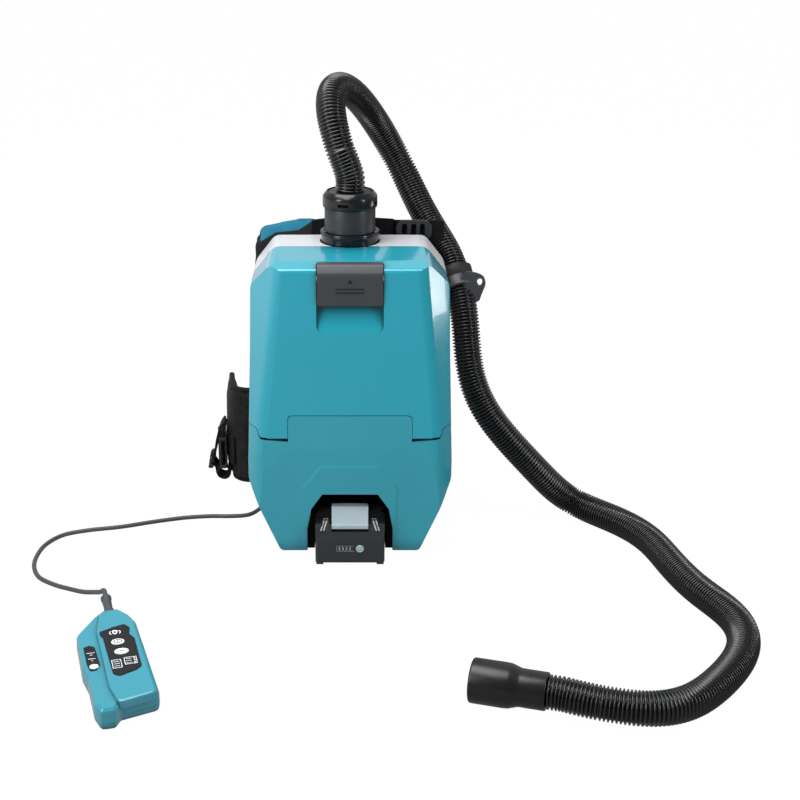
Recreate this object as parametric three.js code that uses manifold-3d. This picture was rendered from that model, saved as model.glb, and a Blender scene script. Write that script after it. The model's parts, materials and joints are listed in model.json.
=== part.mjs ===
// Cordless backpack vacuum cleaner, standing on its battery and the foot of its back frame.
// Millimetres, +Z up, +X to the right seen from the front, +Y towards the wearer's back.
// Inside the model the parting plane of the two housing shells is y = 0; the whole unit is then
// moved so that the origin lies at the middle of the frame's foot.
import * as THREE from 'three';
import { mergeVertices } from 'three/addons/utils/BufferGeometryUtils.js';
import Module from 'manifold-3d';

const wasm = await Module();
wasm.setup();

// ---------------------------------------------------------------- driving dimensions
const fit = 0.3; // gap between pieces that seat on each other
const wall = 2.8; // moulded wall of the housing
const shellTop = 345;
const shellBottom = 12;
const frontDepth = 88; // cover face ahead of the parting plane
const rearDepth = 58; // rear shell behind it
const hipWidth = 227;
const hipLow = 96;
const hipHigh = 118;
const topWidth = 217;
const bottomWidth = 156;
const topCornerRun = 24; // slanted top corner, across and down
const topCornerDrop = 31;
const topCornerRadius = 16; // of each bend of a slanted corner
const topFaceWidth = 156; // flat front face between its side facets, at the top
const hipFaceWidth = 202; // the same at the seam
const seamHeight = 151.5; // lower edge of the cover, and its hinge axis
const tabWidth = 136; // raised tab of the lower housing
const tabTop = 177;
const sideSeamRise = 9.5;
const creaseHeight = 137; // below this the front leans back
const leanDegrees = 3.4;

const barrelRadius = 1.9; // rolled lower edge of the cover, which turns on the hinge pins
const barrelEnd = 91;
const seamRiseFrom = 98.8; // the seam climbs here, where the front has curved behind the hinge
const seamRiseTo = 102.8;
const hingePinRadius = 0.85;
const hingePinLength = 9;
const runningGap = 0.35;

const latchWidth = 70;
const latchLow = 301.5;
const latchProud = 3;
const latchPivotDepth = 3; // pivot behind the cover face
const latchPivotDrop = 5.5; // and below the housing top
const latchPinRadius = 1.25;
const recessDepth = 8;
const recessLow = 272;
const catchHeight = 3;

const portY = 27; // centre of the hose port
const collarRadius = 33.5;
const collarHeight = 12; // above the housing top
const collarTop = shellTop + collarHeight;
const portBore = 26;
const sleeveRadius = 28.5;
const sleeveHeight = 27; // from the collar to the lock ring
const sleeveTop = collarTop + sleeveHeight;
const lockRingRadius = 30.5;
const lockRingHeight = 19;
const lockRingTop = sleeveTop + lockRingHeight;
const hoseBore = 13;
const hoseRadius = 16.6;
const hoseRibDepth = 2.6;
const ribCount = 190;

const bayHalf = 48; // battery bay at its foot
const bayShoulder = 43.5;
const bayTop = 82.5;
const bayWall = 2.4;
const batteryWidth = 78;
const batteryFront = 95;
const batteryBack = 20;
const batteryTop = 63;
const batterySole = 3;
const releaseWidth = 41;
const releaseTravel = 3;
const checkButtonRadius = 4.5;

const motorY = -15;
const motorRadius = 44;
const impellerRadius = 36;
const shaftRadius = 3;
const deckTop = 146;
const deckThickness = 4;
const cartridgeHeight = 25;
const cartridgeWidth = 158;

const frameGap = fit;
const frameWidth = 184;
const frameTop = 334;
const footWidth = 116;
const footY = 75; // middle of the foot, and the origin of the part
const footDepth = 26;
const frameDepth = 10;

const padThickness = 11;
const padCrest = 357; // top of the left shoulder pad
const padFoot = 154;
const wingRadius = 24; // bend of a hip wing
const wingThickness = 13;
const wingPivotX = 106;
const wingPivotY = 77;
const wingRollRadius = 4.5; // sewn roll at the root of a wing, which it turns on

const cordRadius = 2.5;
const remoteHead = 86; // cord end of the control box, from its own origin
const remoteTail = -71;
const remoteThickness = 27.5;
const remoteSplit = 9;
const remoteTurn = 16; // degrees, seen from above
const remoteTilt = 8; // degrees, cord end up on the belt clip
const remotePlace = [-219, -362.3];

// ---------------------------------------------------------------- materials
const finish = (color, roughness, metalness = 0) =>
  new THREE.MeshStandardMaterial({ color, roughness, metalness });
const teal = finish(0x2f9fb2, 0.3);
const white = finish(0xe4e4e8, 0.4);
const black = finish(0x2b2d30, 0.5);
const rubber = finish(0x1c1d1f, 0.8);
const greyKey = finish(0xaebfc6, 0.45);
const fabric = finish(0x26272a, 0.95);
const blueFabric = finish(0x3d97b5, 0.9);
const paper = finish(0xe9e2d2, 0.95);
const steel = finish(0x9a9da1, 0.35, 0.9);
const greyRubber = finish(0x55585c, 0.7);
const boardGreen = finish(0x1d6b45, 0.6);

// ---------------------------------------------------------------- shape helpers
const toRadians = THREE.MathUtils.degToRad;

// A closed mesh as a solid that can be joined and cut, with its faces turned outwards.
function solid(geometry) {
  const bare = geometry.index ? geometry.toNonIndexed() : geometry.clone();
  bare.deleteAttribute('normal');
  bare.deleteAttribute('uv');
  const merged = mergeVertices(bare, 1e-4);
  const corners = merged.index.array;
  const kept = [];
  for (let i = 0; i < corners.length; i += 3) {
    const [a, b, c] = corners.slice(i, i + 3);
    if (a !== b && b !== c && c !== a) kept.push(a, b, c);
  }
  const places = merged.attributes.position.array;
  const spot = (k) => new THREE.Vector3().fromArray(places, 3 * k);
  let volume = 0;
  for (let i = 0; i < kept.length; i += 3) {
    volume += spot(kept[i]).dot(spot(kept[i + 1]).cross(spot(kept[i + 2])));
  }
  if (volume < 0) kept.reverse();
  return new wasm.Manifold(new wasm.Mesh({
    numProp: 3,
    vertProperties: places,
    triVerts: Uint32Array.from(kept),
  }));
}

function toGeometry(body) {
  const mesh = body.getMesh();
  const geometry = new THREE.BufferGeometry();
  geometry.setAttribute('position', new THREE.BufferAttribute(mesh.vertProperties, 3));
  geometry.setIndex(new THREE.BufferAttribute(mesh.triVerts, 1));
  geometry.computeVertexNormals();
  return geometry;
}

const joined = (...bodies) => bodies.reduce((whole, body) => whole.add(body));
const cut = (body, ...tools) => tools.reduce((left, tool) => left.subtract(tool), body);

function box([x0, x1], [y0, y1], [z0, z1]) {
  const geometry = new THREE.BoxGeometry(x1 - x0, y1 - y0, z1 - z0);
  return solid(geometry.translate((x0 + x1) / 2, (y0 + y1) / 2, (z0 + z1) / 2));
}

// An outline given as [a, b, radius] corners, with its corners rounded.
function filleted(corners, steps = 3) {
  const outline = [];
  corners.forEach(([a, b, radius = 0], i) => {
    const corner = new THREE.Vector2(a, b);
    if (radius <= 0) {
      outline.push(corner);
      return;
    }
    const count = corners.length;
    const back = new THREE.Vector2(...corners[(i + count - 1) % count]).sub(corner).normalize();
    const ahead = new THREE.Vector2(...corners[(i + 1) % count]).sub(corner).normalize();
    const half = Math.acos(THREE.MathUtils.clamp(back.dot(ahead), -1, 1)) / 2;
    const centre = corner.clone()
      .addScaledVector(back.clone().add(ahead).normalize(), radius / Math.sin(half));
    const start = corner.clone().addScaledVector(back, radius / Math.tan(half)).sub(centre);
    const end = corner.clone().addScaledVector(ahead, radius / Math.tan(half)).sub(centre);
    let sweep = end.angle() - start.angle();
    if (sweep > Math.PI) sweep -= 2 * Math.PI;
    if (sweep < -Math.PI) sweep += 2 * Math.PI;
    for (let k = 0; k <= steps; k++) {
      const turned = start.clone().rotateAround(new THREE.Vector2(), (sweep * k) / steps);
      outline.push(turned.add(centre));
    }
  });
  return outline;
}

// The same corners with every side moved inwards; radii shrink with it.
function inset(corners, distance) {
  const count = corners.length;
  const area = corners.reduce((sum, [a, b], i) => {
    const [c, d] = corners[(i + 1) % count];
    return sum + a * d - b * c;
  }, 0);
  const side = Math.sign(area) * distance;
  const line = (i) => {
    const [a, b] = corners[i % count];
    const [c, d] = corners[(i + 1) % count];
    const long = Math.hypot(c - a, d - b);
    const along = [(c - a) / long, (d - b) / long];
    return { point: [a - along[1] * side, b + along[0] * side], along };
  };
  return corners.map(([, , radius = 0], i) => {
    const p = line(i + count - 1);
    const q = line(i);
    const cross = p.along[0] * q.along[1] - p.along[1] * q.along[0];
    const gap = [q.point[0] - p.point[0], q.point[1] - p.point[1]];
    const reach = (gap[0] * q.along[1] - gap[1] * q.along[0]) / cross;
    const a = p.point[0] + p.along[0] * reach;
    const b = p.point[1] + p.along[1] * reach;
    return [a, b, radius > 0 ? Math.max(radius - distance, 0.4) : 0];
  });
}

const mirroredX = (right) => [...right, ...right.map(([a, ...rest]) => [-a, ...rest]).reverse()];

// An outline pushed along one axis: (y, z) along x, (x, z) along y, or (x, y) along z.
function prism(axis, outline, from, to) {
  const points = outline.map((p) => (p.isVector2 ? p : new THREE.Vector2(p[0], p[1])));
  const geometry = new THREE.ExtrudeGeometry(new THREE.Shape(points), {
    depth: to - from, bevelEnabled: false, steps: 1,
  });
  const [x, y, z] = [[1, 0, 0], [0, 1, 0], [0, 0, 1]].map((v) => new THREE.Vector3(...v));
  const turn = new THREE.Matrix4();
  if (axis === 'x') turn.makeBasis(y, z, x);
  if (axis === 'y') turn.makeBasis(x, z, y.clone().negate());
  geometry.translate(0, 0, axis === 'y' ? -to : from);
  return solid(geometry.applyMatrix4(turn));
}

// A skin through rings of equal counts of points, closed at both ends.
function loft(rings) {
  const count = rings[0].length;
  const places = rings.flat().flatMap((p) => [...p]);
  const index = [];
  const at = (ring, k) => ring * count + (k % count);
  for (let ring = 0; ring + 1 < rings.length; ring++) {
    for (let k = 0; k < count; k++) {
      index.push(at(ring, k), at(ring, k + 1), at(ring + 1, k + 1));
      index.push(at(ring, k), at(ring + 1, k + 1), at(ring + 1, k));
    }
  }
  [0, rings.length - 1].forEach((ring, end) => {
    const middle = places.length / 3;
    for (let axis = 0; axis < 3; axis++) {
      places.push(rings[ring].reduce((sum, p) => sum + [...p][axis], 0) / count);
    }
    for (let k = 0; k < count; k++) {
      index.push(middle, ...(end ? [at(ring, k), at(ring, k + 1)] : [at(ring, k + 1), at(ring, k)]));
    }
  });
  const geometry = new THREE.BufferGeometry();
  geometry.setAttribute('position', new THREE.Float32BufferAttribute(places, 3));
  geometry.setIndex(index);
  return solid(geometry);
}

// A profile of [radius, height] pairs turned about a vertical axis through (x, y).
function turned(profile, x = 0, y = 0, segments = 32) {
  const points = profile.map(([r, z]) => new THREE.Vector2(r, z));
  if (profile[0][0] > 0) points.push(points[0].clone());
  const geometry = new THREE.LatheGeometry(points, segments);
  return solid(geometry.rotateX(Math.PI / 2).translate(x, y, 0));
}

const disc = (radius, from, to, x = 0, y = 0, segments = 24) =>
  turned([[0, from], [radius, from], [radius, to], [0, to]], x, y, segments);

// A round bar along x, centred on (y, z).
function barX(radius, from, to, y, z, segments = 12) {
  const geometry = new THREE.CylinderGeometry(radius, radius, to - from, segments);
  return solid(geometry.rotateZ(Math.PI / 2).translate((from + to) / 2, y, z));
}

// A round bar along y, centred on (x, z).
function barY(radius, from, to, x, z, segments = 16) {
  const geometry = new THREE.CylinderGeometry(radius, radius, to - from, segments);
  return solid(geometry.translate(x, (from + to) / 2, z));
}

// The outline of a strip of even thickness along a smooth line in a plane.
function strip(points, thickness, steps = 12) {
  const curve = new THREE.SplineCurve(points.map(([a, b]) => new THREE.Vector2(a, b)));
  const sides = [[], []];
  for (let k = 0; k <= steps; k++) {
    const p = curve.getPoint(k / steps);
    const t = curve.getTangent(k / steps);
    sides[0].push(new THREE.Vector2(p.x - (t.y * thickness) / 2, p.y + (t.x * thickness) / 2));
    sides[1].push(new THREE.Vector2(p.x + (t.y * thickness) / 2, p.y - (t.x * thickness) / 2));
  }
  return [...sides[0], ...sides[1].reverse()];
}

const oval = (x, y, wide, high, steps = 14) => Array.from({ length: steps }, (_, k) => {
  const angle = (2 * Math.PI * k) / steps;
  return [x + (wide / 2) * Math.cos(angle), y + (high / 2) * Math.sin(angle)];
});

const unit = new THREE.Group();
unit.position.y = -footY;

function piece(name, body, material, parent = unit) {
  const mesh = new THREE.Mesh(toGeometry(body), material);
  mesh.name = name;
  parent.add(mesh);
  return mesh;
}

// ---------------------------------------------------------------- housing form
const hipHalf = hipWidth / 2;
const topHalf = topWidth / 2;
const far = 200; // reaches past the housing on every side

const frontOutline = mirroredX([
  [bottomWidth / 2, shellBottom, 7],
  [hipHalf, hipLow, 22],
  [hipHalf, hipHigh, 60],
  [topHalf + 1, (hipHigh + shellTop) / 2 + 20, 60],
  [topHalf, shellTop - topCornerDrop, topCornerRadius],
  [topHalf - topCornerRun, shellTop, topCornerRadius],
]);
const sideOutline = [
  [-frontDepth, shellBottom, 5],
  [rearDepth, shellBottom, 5],
  [rearDepth, shellTop, 5],
  [-frontDepth + 26, shellTop, 14],
  [-frontDepth, shellTop - 3, 5],
];
// Half width of the front face, half width behind its facet, and how deep the facet runs.
const planSections = [
  { z: shellBottom - wall, face: hipFaceWidth / 2, wide: hipHalf + 1, facet: 20 },
  { z: hipHigh, face: hipFaceWidth / 2, wide: hipHalf + 1, facet: 20 },
  { z: seamHeight, face: hipFaceWidth / 2 - 1, wide: hipHalf - 1, facet: 22 },
  { z: shellTop + wall, face: topFaceWidth / 2, wide: topHalf + 0.5, facet: 48 },
];

function planRing({ z, face, wide, facet }, distance) {
  const corners = mirroredX([
    [face, -frontDepth, 16],
    [wide, -frontDepth + facet, 12],
    [wide, rearDepth + 1, 10],
  ]);
  return filleted(inset(corners, distance), 3).map((p) => [p.x, p.y, z]);
}

// Below the crease the face leans back; the crease falls towards the hips.
function leanTool(distance) {
  const low = shellBottom - 30;
  const outline = mirroredX([
    [hipHalf + 30, low],
    [hipHalf + 30, hipLow - 35],
    [tabWidth / 2, creaseHeight],
  ]).map(([a, b]) => new THREE.Vector2(a, b));
  const geometry = new THREE.ExtrudeGeometry(new THREE.Shape(outline), {
    depth: 60, bevelEnabled: false,
  });
  const drop = 1 / Math.tan(toRadians(leanDegrees));
  const start = -frontDepth + distance - 20;
  // Shape (x, z) pushed along +y, sinking as it goes.
  const place = new THREE.Matrix4().set(
    1, 0, 0, 0,
    0, 0, 1, start,
    0, 1, -drop, drop * 20,
    0, 0, 0, 1,
  );
  return solid(geometry.applyMatrix4(place));
}

function envelope(distance) {
  const front = prism('y', filleted(inset(frontOutline, distance), 5), -far, far);
  const side = prism('x', filleted(inset(sideOutline, distance), 3), -far, far);
  const plan = loft(planSections.map((section) => planRing(section, distance)));
  return front.intersect(side).intersect(plan).subtract(leanTool(distance));
}

const outside = envelope(0);
const inside = envelope(wall);
const skin = outside.subtract(inside);

const bayCorners = (grow = 0) => mirroredX([
  [bayHalf + grow, shellBottom - 20],
  [bayHalf + grow, 39 + grow / 2],
  [bayShoulder + grow, 64 + grow / 2],
  [31 + grow / 2, bayTop + grow],
]);
const leanAt = (z) => Math.tan(toRadians(leanDegrees)) * Math.max(0, creaseHeight - z);
const bayFront = -frontDepth + leanAt(shellBottom) + wall + fit;
const bayBack = batteryBack + 6;

// ---------------------------------------------------------------- rear shell
const pocketFloor = shellTop - 4.7;
function rearShell() {
  const half = box([-far, far], [fit / 2, far], [0, far * 2]);
  const seat = turned([[0, pocketFloor - 4.3], [collarRadius + 3.3, pocketFloor - 4.3],
    [collarRadius + 3.3, shellTop], [0, shellTop]], 0, portY);
  const body = joined(skin, seat.intersect(outside)).intersect(half);
  const pocket = disc(collarRadius + 0.5, pocketFloor, shellTop + 5, 0, portY, 32);
  const hole = disc(portBore + 2.2 + fit, pocketFloor - 20, shellTop, 0, portY, 32);
  const bay = prism('y', bayCorners(bayWall + fit), -far, bayBack + bayWall + fit);
  const cordHole = barY(glandRadius + fit, rearDepth - 8, rearDepth + 8, glandX, glandZ);
  return cut(body, pocket, hole, bay, cordHole);
}
const glandX = -76;
const glandZ = 34;
const glandRadius = 4.2;
piece('rear_shell', rearShell(), white);

// ---------------------------------------------------------------- seam between cover and housing
const tabHalf = tabWidth / 2;
const hingeY = -frontDepth + barrelRadius;
const rimDrop = barrelRadius + 0.4;
const sideSeam = seamHeight + sideSeamRise;

// Everything above the cover's lower edge, and everything below the housing's rim.
const coverRegion = prism('y', filleted(mirroredX([
  [tabHalf + 0.5, tabTop + 0.7, 5],
  [tabHalf + 0.5, seamHeight],
  [seamRiseFrom, seamHeight],
  [seamRiseTo, sideSeam, 2],
  [far, sideSeam],
  [far, far * 2],
])), -far, -fit / 2);
const housingRegion = prism('y', filleted(mirroredX([
  [far, -far],
  [far, sideSeam - 0.7],
  [seamRiseTo + 0.5, sideSeam - 0.7, 2],
  [seamRiseFrom - 0.1, seamHeight - rimDrop],
  [tabHalf, seamHeight - rimDrop - 2.4],
  [tabHalf, tabTop, 5],
])), -far, -fit / 2);

// ---------------------------------------------------------------- lower housing
function lowerHousing() {
  const body = skin.intersect(housingRegion);
  const mouth = prism('y', bayCorners(), -far, bayFront - fit);
  const bay = prism('y', bayCorners(bayWall + fit), bayFront - fit, far);
  const pins = [-1, 1].map((side) => {
    const from = side > 0 ? tabHalf - 4 : -tabHalf - hingePinLength;
    return barX(hingePinRadius, from, from + hingePinLength + 4, hingeY, seamHeight);
  });
  const bosses = [-1, 1].map((side) => {
    const ends = side > 0 ? [tabHalf - 4, tabHalf] : [-tabHalf, -tabHalf + 4];
    return barX(barrelRadius, ...ends, hingeY, seamHeight);
  });
  return joined(cut(body, mouth, bay), ...pins, ...bosses);
}
piece('lower_housing', lowerHousing(), teal);

// ---------------------------------------------------------------- front cover
const latchPivotY = -frontDepth + latchPivotDepth;
const latchPivotZ = shellTop - latchPivotDrop;
const latchHalf = latchWidth / 2;
const sweepRadius = 14.8; // clears the latch's rear lip as it turns
const recessHalf = latchHalf + 1;

function recess(grow) {
  const y = -frontDepth;
  const profile = [
    [y - 20, recessLow - 2 * grow],
    [y - 0.1, recessLow - 2 * grow],
    [y + recessDepth + grow, recessLow + 27],
    [y + recessDepth + grow, shellTop + 10],
    [y - 20, shellTop + 10],
  ];
  const face = filleted(mirroredX([
    [recessHalf + grow, recessLow - 2 * grow, 7],
    [recessHalf + grow, shellTop + 20],
  ]));
  const ends = [-recessHalf - grow, recessHalf + grow];
  const flap = prism('x', profile, ...ends).intersect(prism('y', face, -far, far));
  const sweep = barX(sweepRadius + grow, ...ends, latchPivotY, latchPivotZ, 24);
  const top = box(ends, [-frontDepth - 5, latchPivotY + sweepRadius + grow],
    [latchPivotZ, shellTop + 10]);
  return joined(flap, sweep, top);
}

function frontCover() {
  const rough = joined(skin, recess(wall).intersect(outside)).intersect(coverRegion);
  const notch = disc(collarRadius + 0.7, pocketFloor - 15, shellTop + 5, 0, portY, 32);
  const pinHole = barX(latchPinRadius + runningGap, -recessHalf - 2.2, recessHalf + 2.2,
    latchPivotY, latchPivotZ);
  const barrels = [-1, 1].map((side) => {
    const ends = side > 0 ? [tabHalf + 0.5, barrelEnd] : [-barrelEnd, -tabHalf - 0.5];
    return barX(barrelRadius, ...ends, hingeY, seamHeight, 20);
  });
  const bores = [-1, 1].map((side) => {
    const deep = hingePinLength + 1;
    const ends = side > 0 ? [tabHalf, tabHalf + deep] : [-tabHalf - deep, -tabHalf];
    return barX(hingePinRadius + runningGap, ...ends, hingeY, seamHeight);
  });
  return cut(joined(rough, ...barrels), recess(0), notch, pinHole, ...bores);
}
piece('front_cover', frontCover(), teal);

// ---------------------------------------------------------------- cover latch and its pin
function coverLatch() {
  const face = -frontDepth - latchProud;
  const back = -frontDepth + recessDepth - 1;
  const profile = filleted([
    [face + 1.5, latchLow, 1.5],
    [face, shellTop - 8, 7],
    [latchPivotY + 1, shellTop + 1.6, 5],
    [latchPivotY + 12.5, shellTop + 1.6, 1.5],
    [latchPivotY + 12.5, shellTop - 3.5, 1],
    [back, shellTop - 4.5],
    [back, latchLow + 20],
    [face + 6.5, latchLow, 1.5],
  ]);
  const front = filleted(mirroredX([
    [latchHalf, latchLow, 4],
    [latchHalf, shellTop + 5],
  ]));
  const body = prism('x', profile, -latchHalf, latchHalf).intersect(prism('y', front, -far, far));
  return body.subtract(barX(latchPinRadius + runningGap, -far, far, latchPivotY, latchPivotZ));
}
piece('cover_latch', coverLatch(), black);
piece('latch_pin', barX(latchPinRadius, -recessHalf - 2, recessHalf + 2, latchPivotY, latchPivotZ),
  steel);

// ---------------------------------------------------------------- cover seal, inside the joint
function coverSeal(side) {
  const gap = wall + fit;
  const band = box(side < 0 ? [-far, 0] : [0, far], [-3, 3], [sideSeam + 4, far * 2]);
  const ring = envelope(gap).subtract(envelope(gap + 2.6)).intersect(band);
  const port = disc(collarRadius + 3.3 + fit, pocketFloor - 15, shellTop, 0, portY, 32);
  return ring.subtract(port);
}
piece('cover_seal_left', coverSeal(-1), rubber);
piece('cover_seal_right', coverSeal(1), rubber);

// ---------------------------------------------------------------- hose port
const spigotRadius = portBore + 2.2;
const spigotEnd = pocketFloor - 17;
piece('port_collar', turned([
  [portBore, spigotEnd], [spigotRadius, spigotEnd], [spigotRadius, pocketFloor + fit],
  [collarRadius - 1.2, pocketFloor + fit], [collarRadius - 1.2, collarTop - 5],
  [collarRadius, collarTop - 4], [collarRadius, collarTop - 1], [collarRadius - 1, collarTop],
  [portBore, collarTop],
], 0, portY), black);

const sleeveBore = portBore - 3.2;
const neckRadius = lockRingRadius - 5;
const neckTop = lockRingTop - 5;
piece('hose_sleeve', turned([
  [sleeveBore, collarTop - 22], [portBore - runningGap - 0.05, collarTop - 22],
  [portBore - runningGap - 0.05, collarTop + fit], [sleeveRadius, collarTop + fit],
  [sleeveRadius, sleeveTop - 1], [sleeveRadius - 1, sleeveTop], [neckRadius - 0.4, sleeveTop],
  [neckRadius - 0.4, neckTop], [sleeveBore, neckTop],
], 0, portY), black);

function lockRing() {
  const base = sleeveTop + fit;
  const ring = turned([
    [neckRadius, base], [lockRingRadius - 1, base], [lockRingRadius, base + 1.5],
    [lockRingRadius, lockRingTop - 7], [lockRingRadius - 3, lockRingTop - 1.5],
    [lockRingRadius - 4.5, lockRingTop], [neckRadius - 0.3, lockRingTop - 1],
    [neckRadius, neckTop + fit],
  ], 0, portY);
  const windows = [0, 1, 2, 3].map((quarter) => {
    const hole = box([-5, 5], [-lockRingRadius - 2, -neckRadius + 1], [base + 2.5, base + 5.8]);
    return hole.rotate([0, 0, 90 * quarter]).translate([0, portY, 0]);
  });
  return cut(ring, ...windows);
}
piece('hose_lock_ring', lockRing(), black);

const fittingTop = neckTop + 3.2;
piece('hose_fitting', turned([
  [hoseBore, neckTop - 14], [sleeveBore - fit - 0.1, neckTop - 14],
  [sleeveBore - fit - 0.1, neckTop + fit], [neckRadius - 1.2, neckTop + fit],
  [neckRadius - 1.2, fittingTop], [hoseBore, fittingTop],
], 0, portY), black);

// ---------------------------------------------------------------- dust chamber
function bagHolder() {
  const top = pocketFloor - 4.3 - fit;
  const ring = turned([[spigotRadius + fit, top - 7], [spigotRadius + 8, top - 7],
    [spigotRadius + 8, top], [spigotRadius + fit, top]], 0, portY);
  const reach = latchPivotY + sweepRadius + wall + 1.5;
  const arm = box([-9, 9], [reach, portY - spigotRadius - 3], [top - 5, top - 5 + catchHeight]);
  const lip = box([-9, 9], [reach, reach + 3], [top - 5, top + 2.5]);
  return joined(ring, arm, lip).intersect(envelope(wall + fit));
}
piece('bag_holder', bagHolder(), black);

const plateTop = pocketFloor - 4.3 - fit - 7 - fit;
const plateHole = disc(spigotRadius + fit, plateTop - 10, plateTop + 10, 0, portY, 32);
const plateThickness = 2.4;
const plateBack = rearDepth - wall - 3.5;
const plateHalf = spigotRadius + 20;
piece('bag_plate', prism('z', filleted([
  [-plateHalf, portY - plateHalf, 8], [plateHalf, portY - plateHalf, 8],
  [plateHalf, plateBack, 4], [-plateHalf, plateBack, 4],
]), plateTop - plateThickness, plateTop).subtract(plateHole), paper);

const cartridgeTop = deckTop + fit + cartridgeHeight;
const preFilterTop = cartridgeTop + fit + 8;
const bagLow = preFilterTop + 1.5;
const bagHigh = spigotEnd - fit;
function dustBag() {
  const levels = 6;
  const rings = Array.from({ length: levels }, (_, i) => {
    const t = i / (levels - 1);
    const swell = Math.sqrt(Math.max(0, 1 - (2 * t - 1) ** 4));
    const halfX = 58 + 24 * swell;
    const halfY = 30 + 17 * swell;
    const z = bagLow + (bagHigh - bagLow) * t;
    const corners = [[-halfX, -halfY, 18], [halfX, -halfY, 18], [halfX, halfY, 18],
      [-halfX, halfY, 18]];
    return filleted(corners, 3).map((p) => [p.x, p.y + 3, z]);
  });
  return loft(rings);
}
piece('dust_bag', dustBag(), paper);

// Deck between the dust chamber and the motor room.
const cartridgeHalf = cartridgeWidth / 2;
const cartridgeY = [-52, 32];
function filterDeck() {
  const slab = box([-far, far], [-far, far], [deckTop - deckThickness, deckTop]);
  const plate = envelope(wall + fit).intersect(slab);
  const curbOut = [-cartridgeHalf - 3.3, cartridgeHalf + 3.3];
  const curb = box(curbOut, [cartridgeY[0] - 3.3, cartridgeY[1] + 3.3], [deckTop - 1, deckTop + 6])
    .subtract(box([-cartridgeHalf - fit, cartridgeHalf + fit],
      [cartridgeY[0] - fit, cartridgeY[1] + fit], [deckTop - 2, deckTop + 8]));
  const inlet = turned([[7, 0], [26, 0], [26, far], [7, far]], 0, motorY);
  const spokes = [0, 60, 120].map((angle) =>
    box([-30, 30], [-1.5, 1.5], [deckTop - deckThickness, deckTop])
      .rotate([0, 0, angle]).translate([0, motorY, 0]));
  return joined(cut(joined(plate, curb), inlet), ...spokes);
}
piece('filter_deck', filterDeck(), black);

// Pleated cartridge: a frame height of zigzag paper folded across the depth.
function cartridge() {
  const pleats = 20;
  const pitch = (cartridgeHalf * 2) / pleats;
  const low = deckTop + fit;
  const outline = [[cartridgeHalf, low], [-cartridgeHalf, low]].map(([a, b]) => [a, b]);
  for (let k = 0; k < pleats; k++) {
    const x = -cartridgeHalf + k * pitch;
    outline.push([x, cartridgeTop - 5], [x + pitch / 2, cartridgeTop]);
  }
  outline.push([cartridgeHalf, cartridgeTop - 5]);
  return prism('y', outline, ...cartridgeY);
}
piece('hepa_filter', cartridge(), paper);

function preFilter() {
  const frame = box([-cartridgeHalf, cartridgeHalf], cartridgeY, [cartridgeTop + fit, preFilterTop]);
  const cell = (cartridgeHalf * 2 - 6) / 4;
  const cells = [0, 1, 2, 3].map((k) => {
    const x = -cartridgeHalf + 4.5 + k * cell;
    return box([x, x + cell - 3], [cartridgeY[0] + 4, cartridgeY[1] - 4],
      [cartridgeTop + 4, preFilterTop + 1]);
  });
  return cut(frame, ...cells);
}
piece('pre_filter', preFilter(), black);

// ---------------------------------------------------------------- motor room
const roofTop = bayTop + bayWall;
const motorLow = roofTop + 3.3;
const motorHigh = deckTop - deckThickness - fit;
function motorHousing() {
  const drum = disc(motorRadius, motorLow, motorHigh, 0, motorY, 28);
  const room = disc(motorRadius - 3, motorLow + 3, motorHigh - 3, 0, motorY, 28);
  const mouth = disc(22, motorHigh - 5, motorHigh + 1, 0, motorY);
  const floorHole = disc(12, motorLow - 1, motorLow + 4, 0, motorY);
  const outlets = [45, 135, 225, 315].map((angle) =>
    box([-9, 9], [motorRadius - 6, motorRadius + 4], [impellerLow, impellerLow + 10])
      .rotate([0, 0, angle]).translate([0, motorY, 0]));
  return cut(drum, room, mouth, floorHole, ...outlets);
}
const motorCanTop = motorLow + 33;
const impellerLow = motorCanTop + 2.5;
piece('motor_housing', motorHousing(), black);
piece('motor_mount', turned([[16, roofTop + fit], [28, roofTop + fit], [28, motorLow - fit],
  [16, motorLow - fit]], 0, motorY, 20), rubber);
piece('motor_can', disc(25, motorLow + 3 + fit, motorCanTop, 0, motorY)
  .subtract(disc(shaftRadius + runningGap, motorCanTop - 20, motorCanTop + 1, 0, motorY, 12)), steel);

function impeller() {
  const shaft = disc(shaftRadius, motorCanTop - 16, impellerLow + 11, 0, motorY, 12);
  const backPlate = disc(impellerRadius, impellerLow, impellerLow + 1.6, 0, motorY, 28);
  const hub = turned([[0, impellerLow], [9, impellerLow], [4.5, impellerLow + 11],
    [0, impellerLow + 11]], 0, motorY, 14);
  const blade = prism('z', strip([[6, 0], [18, 5], [28, 3], [impellerRadius - 1, -5]], 1.4, 4),
    impellerLow + 0.5, impellerLow + 8.5);
  const blades = Array.from({ length: 7 }, (_, k) =>
    blade.rotate([0, 0, (k * 360) / 7]).translate([0, motorY, 0]));
  return joined(shaft, backPlate, hub, ...blades);
}
piece('impeller', impeller(), black);

const boardY = rearDepth - wall - fit;
piece('control_board', joined(
  box([-98, -50], [boardY - 1.6, boardY], [96, 138]),
  box([-94, -82], [boardY - 8, boardY - 1], [100, 112]),
  box([-76, -58], [boardY - 12, boardY - 1], [118, 132]),
), boardGreen);

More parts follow.
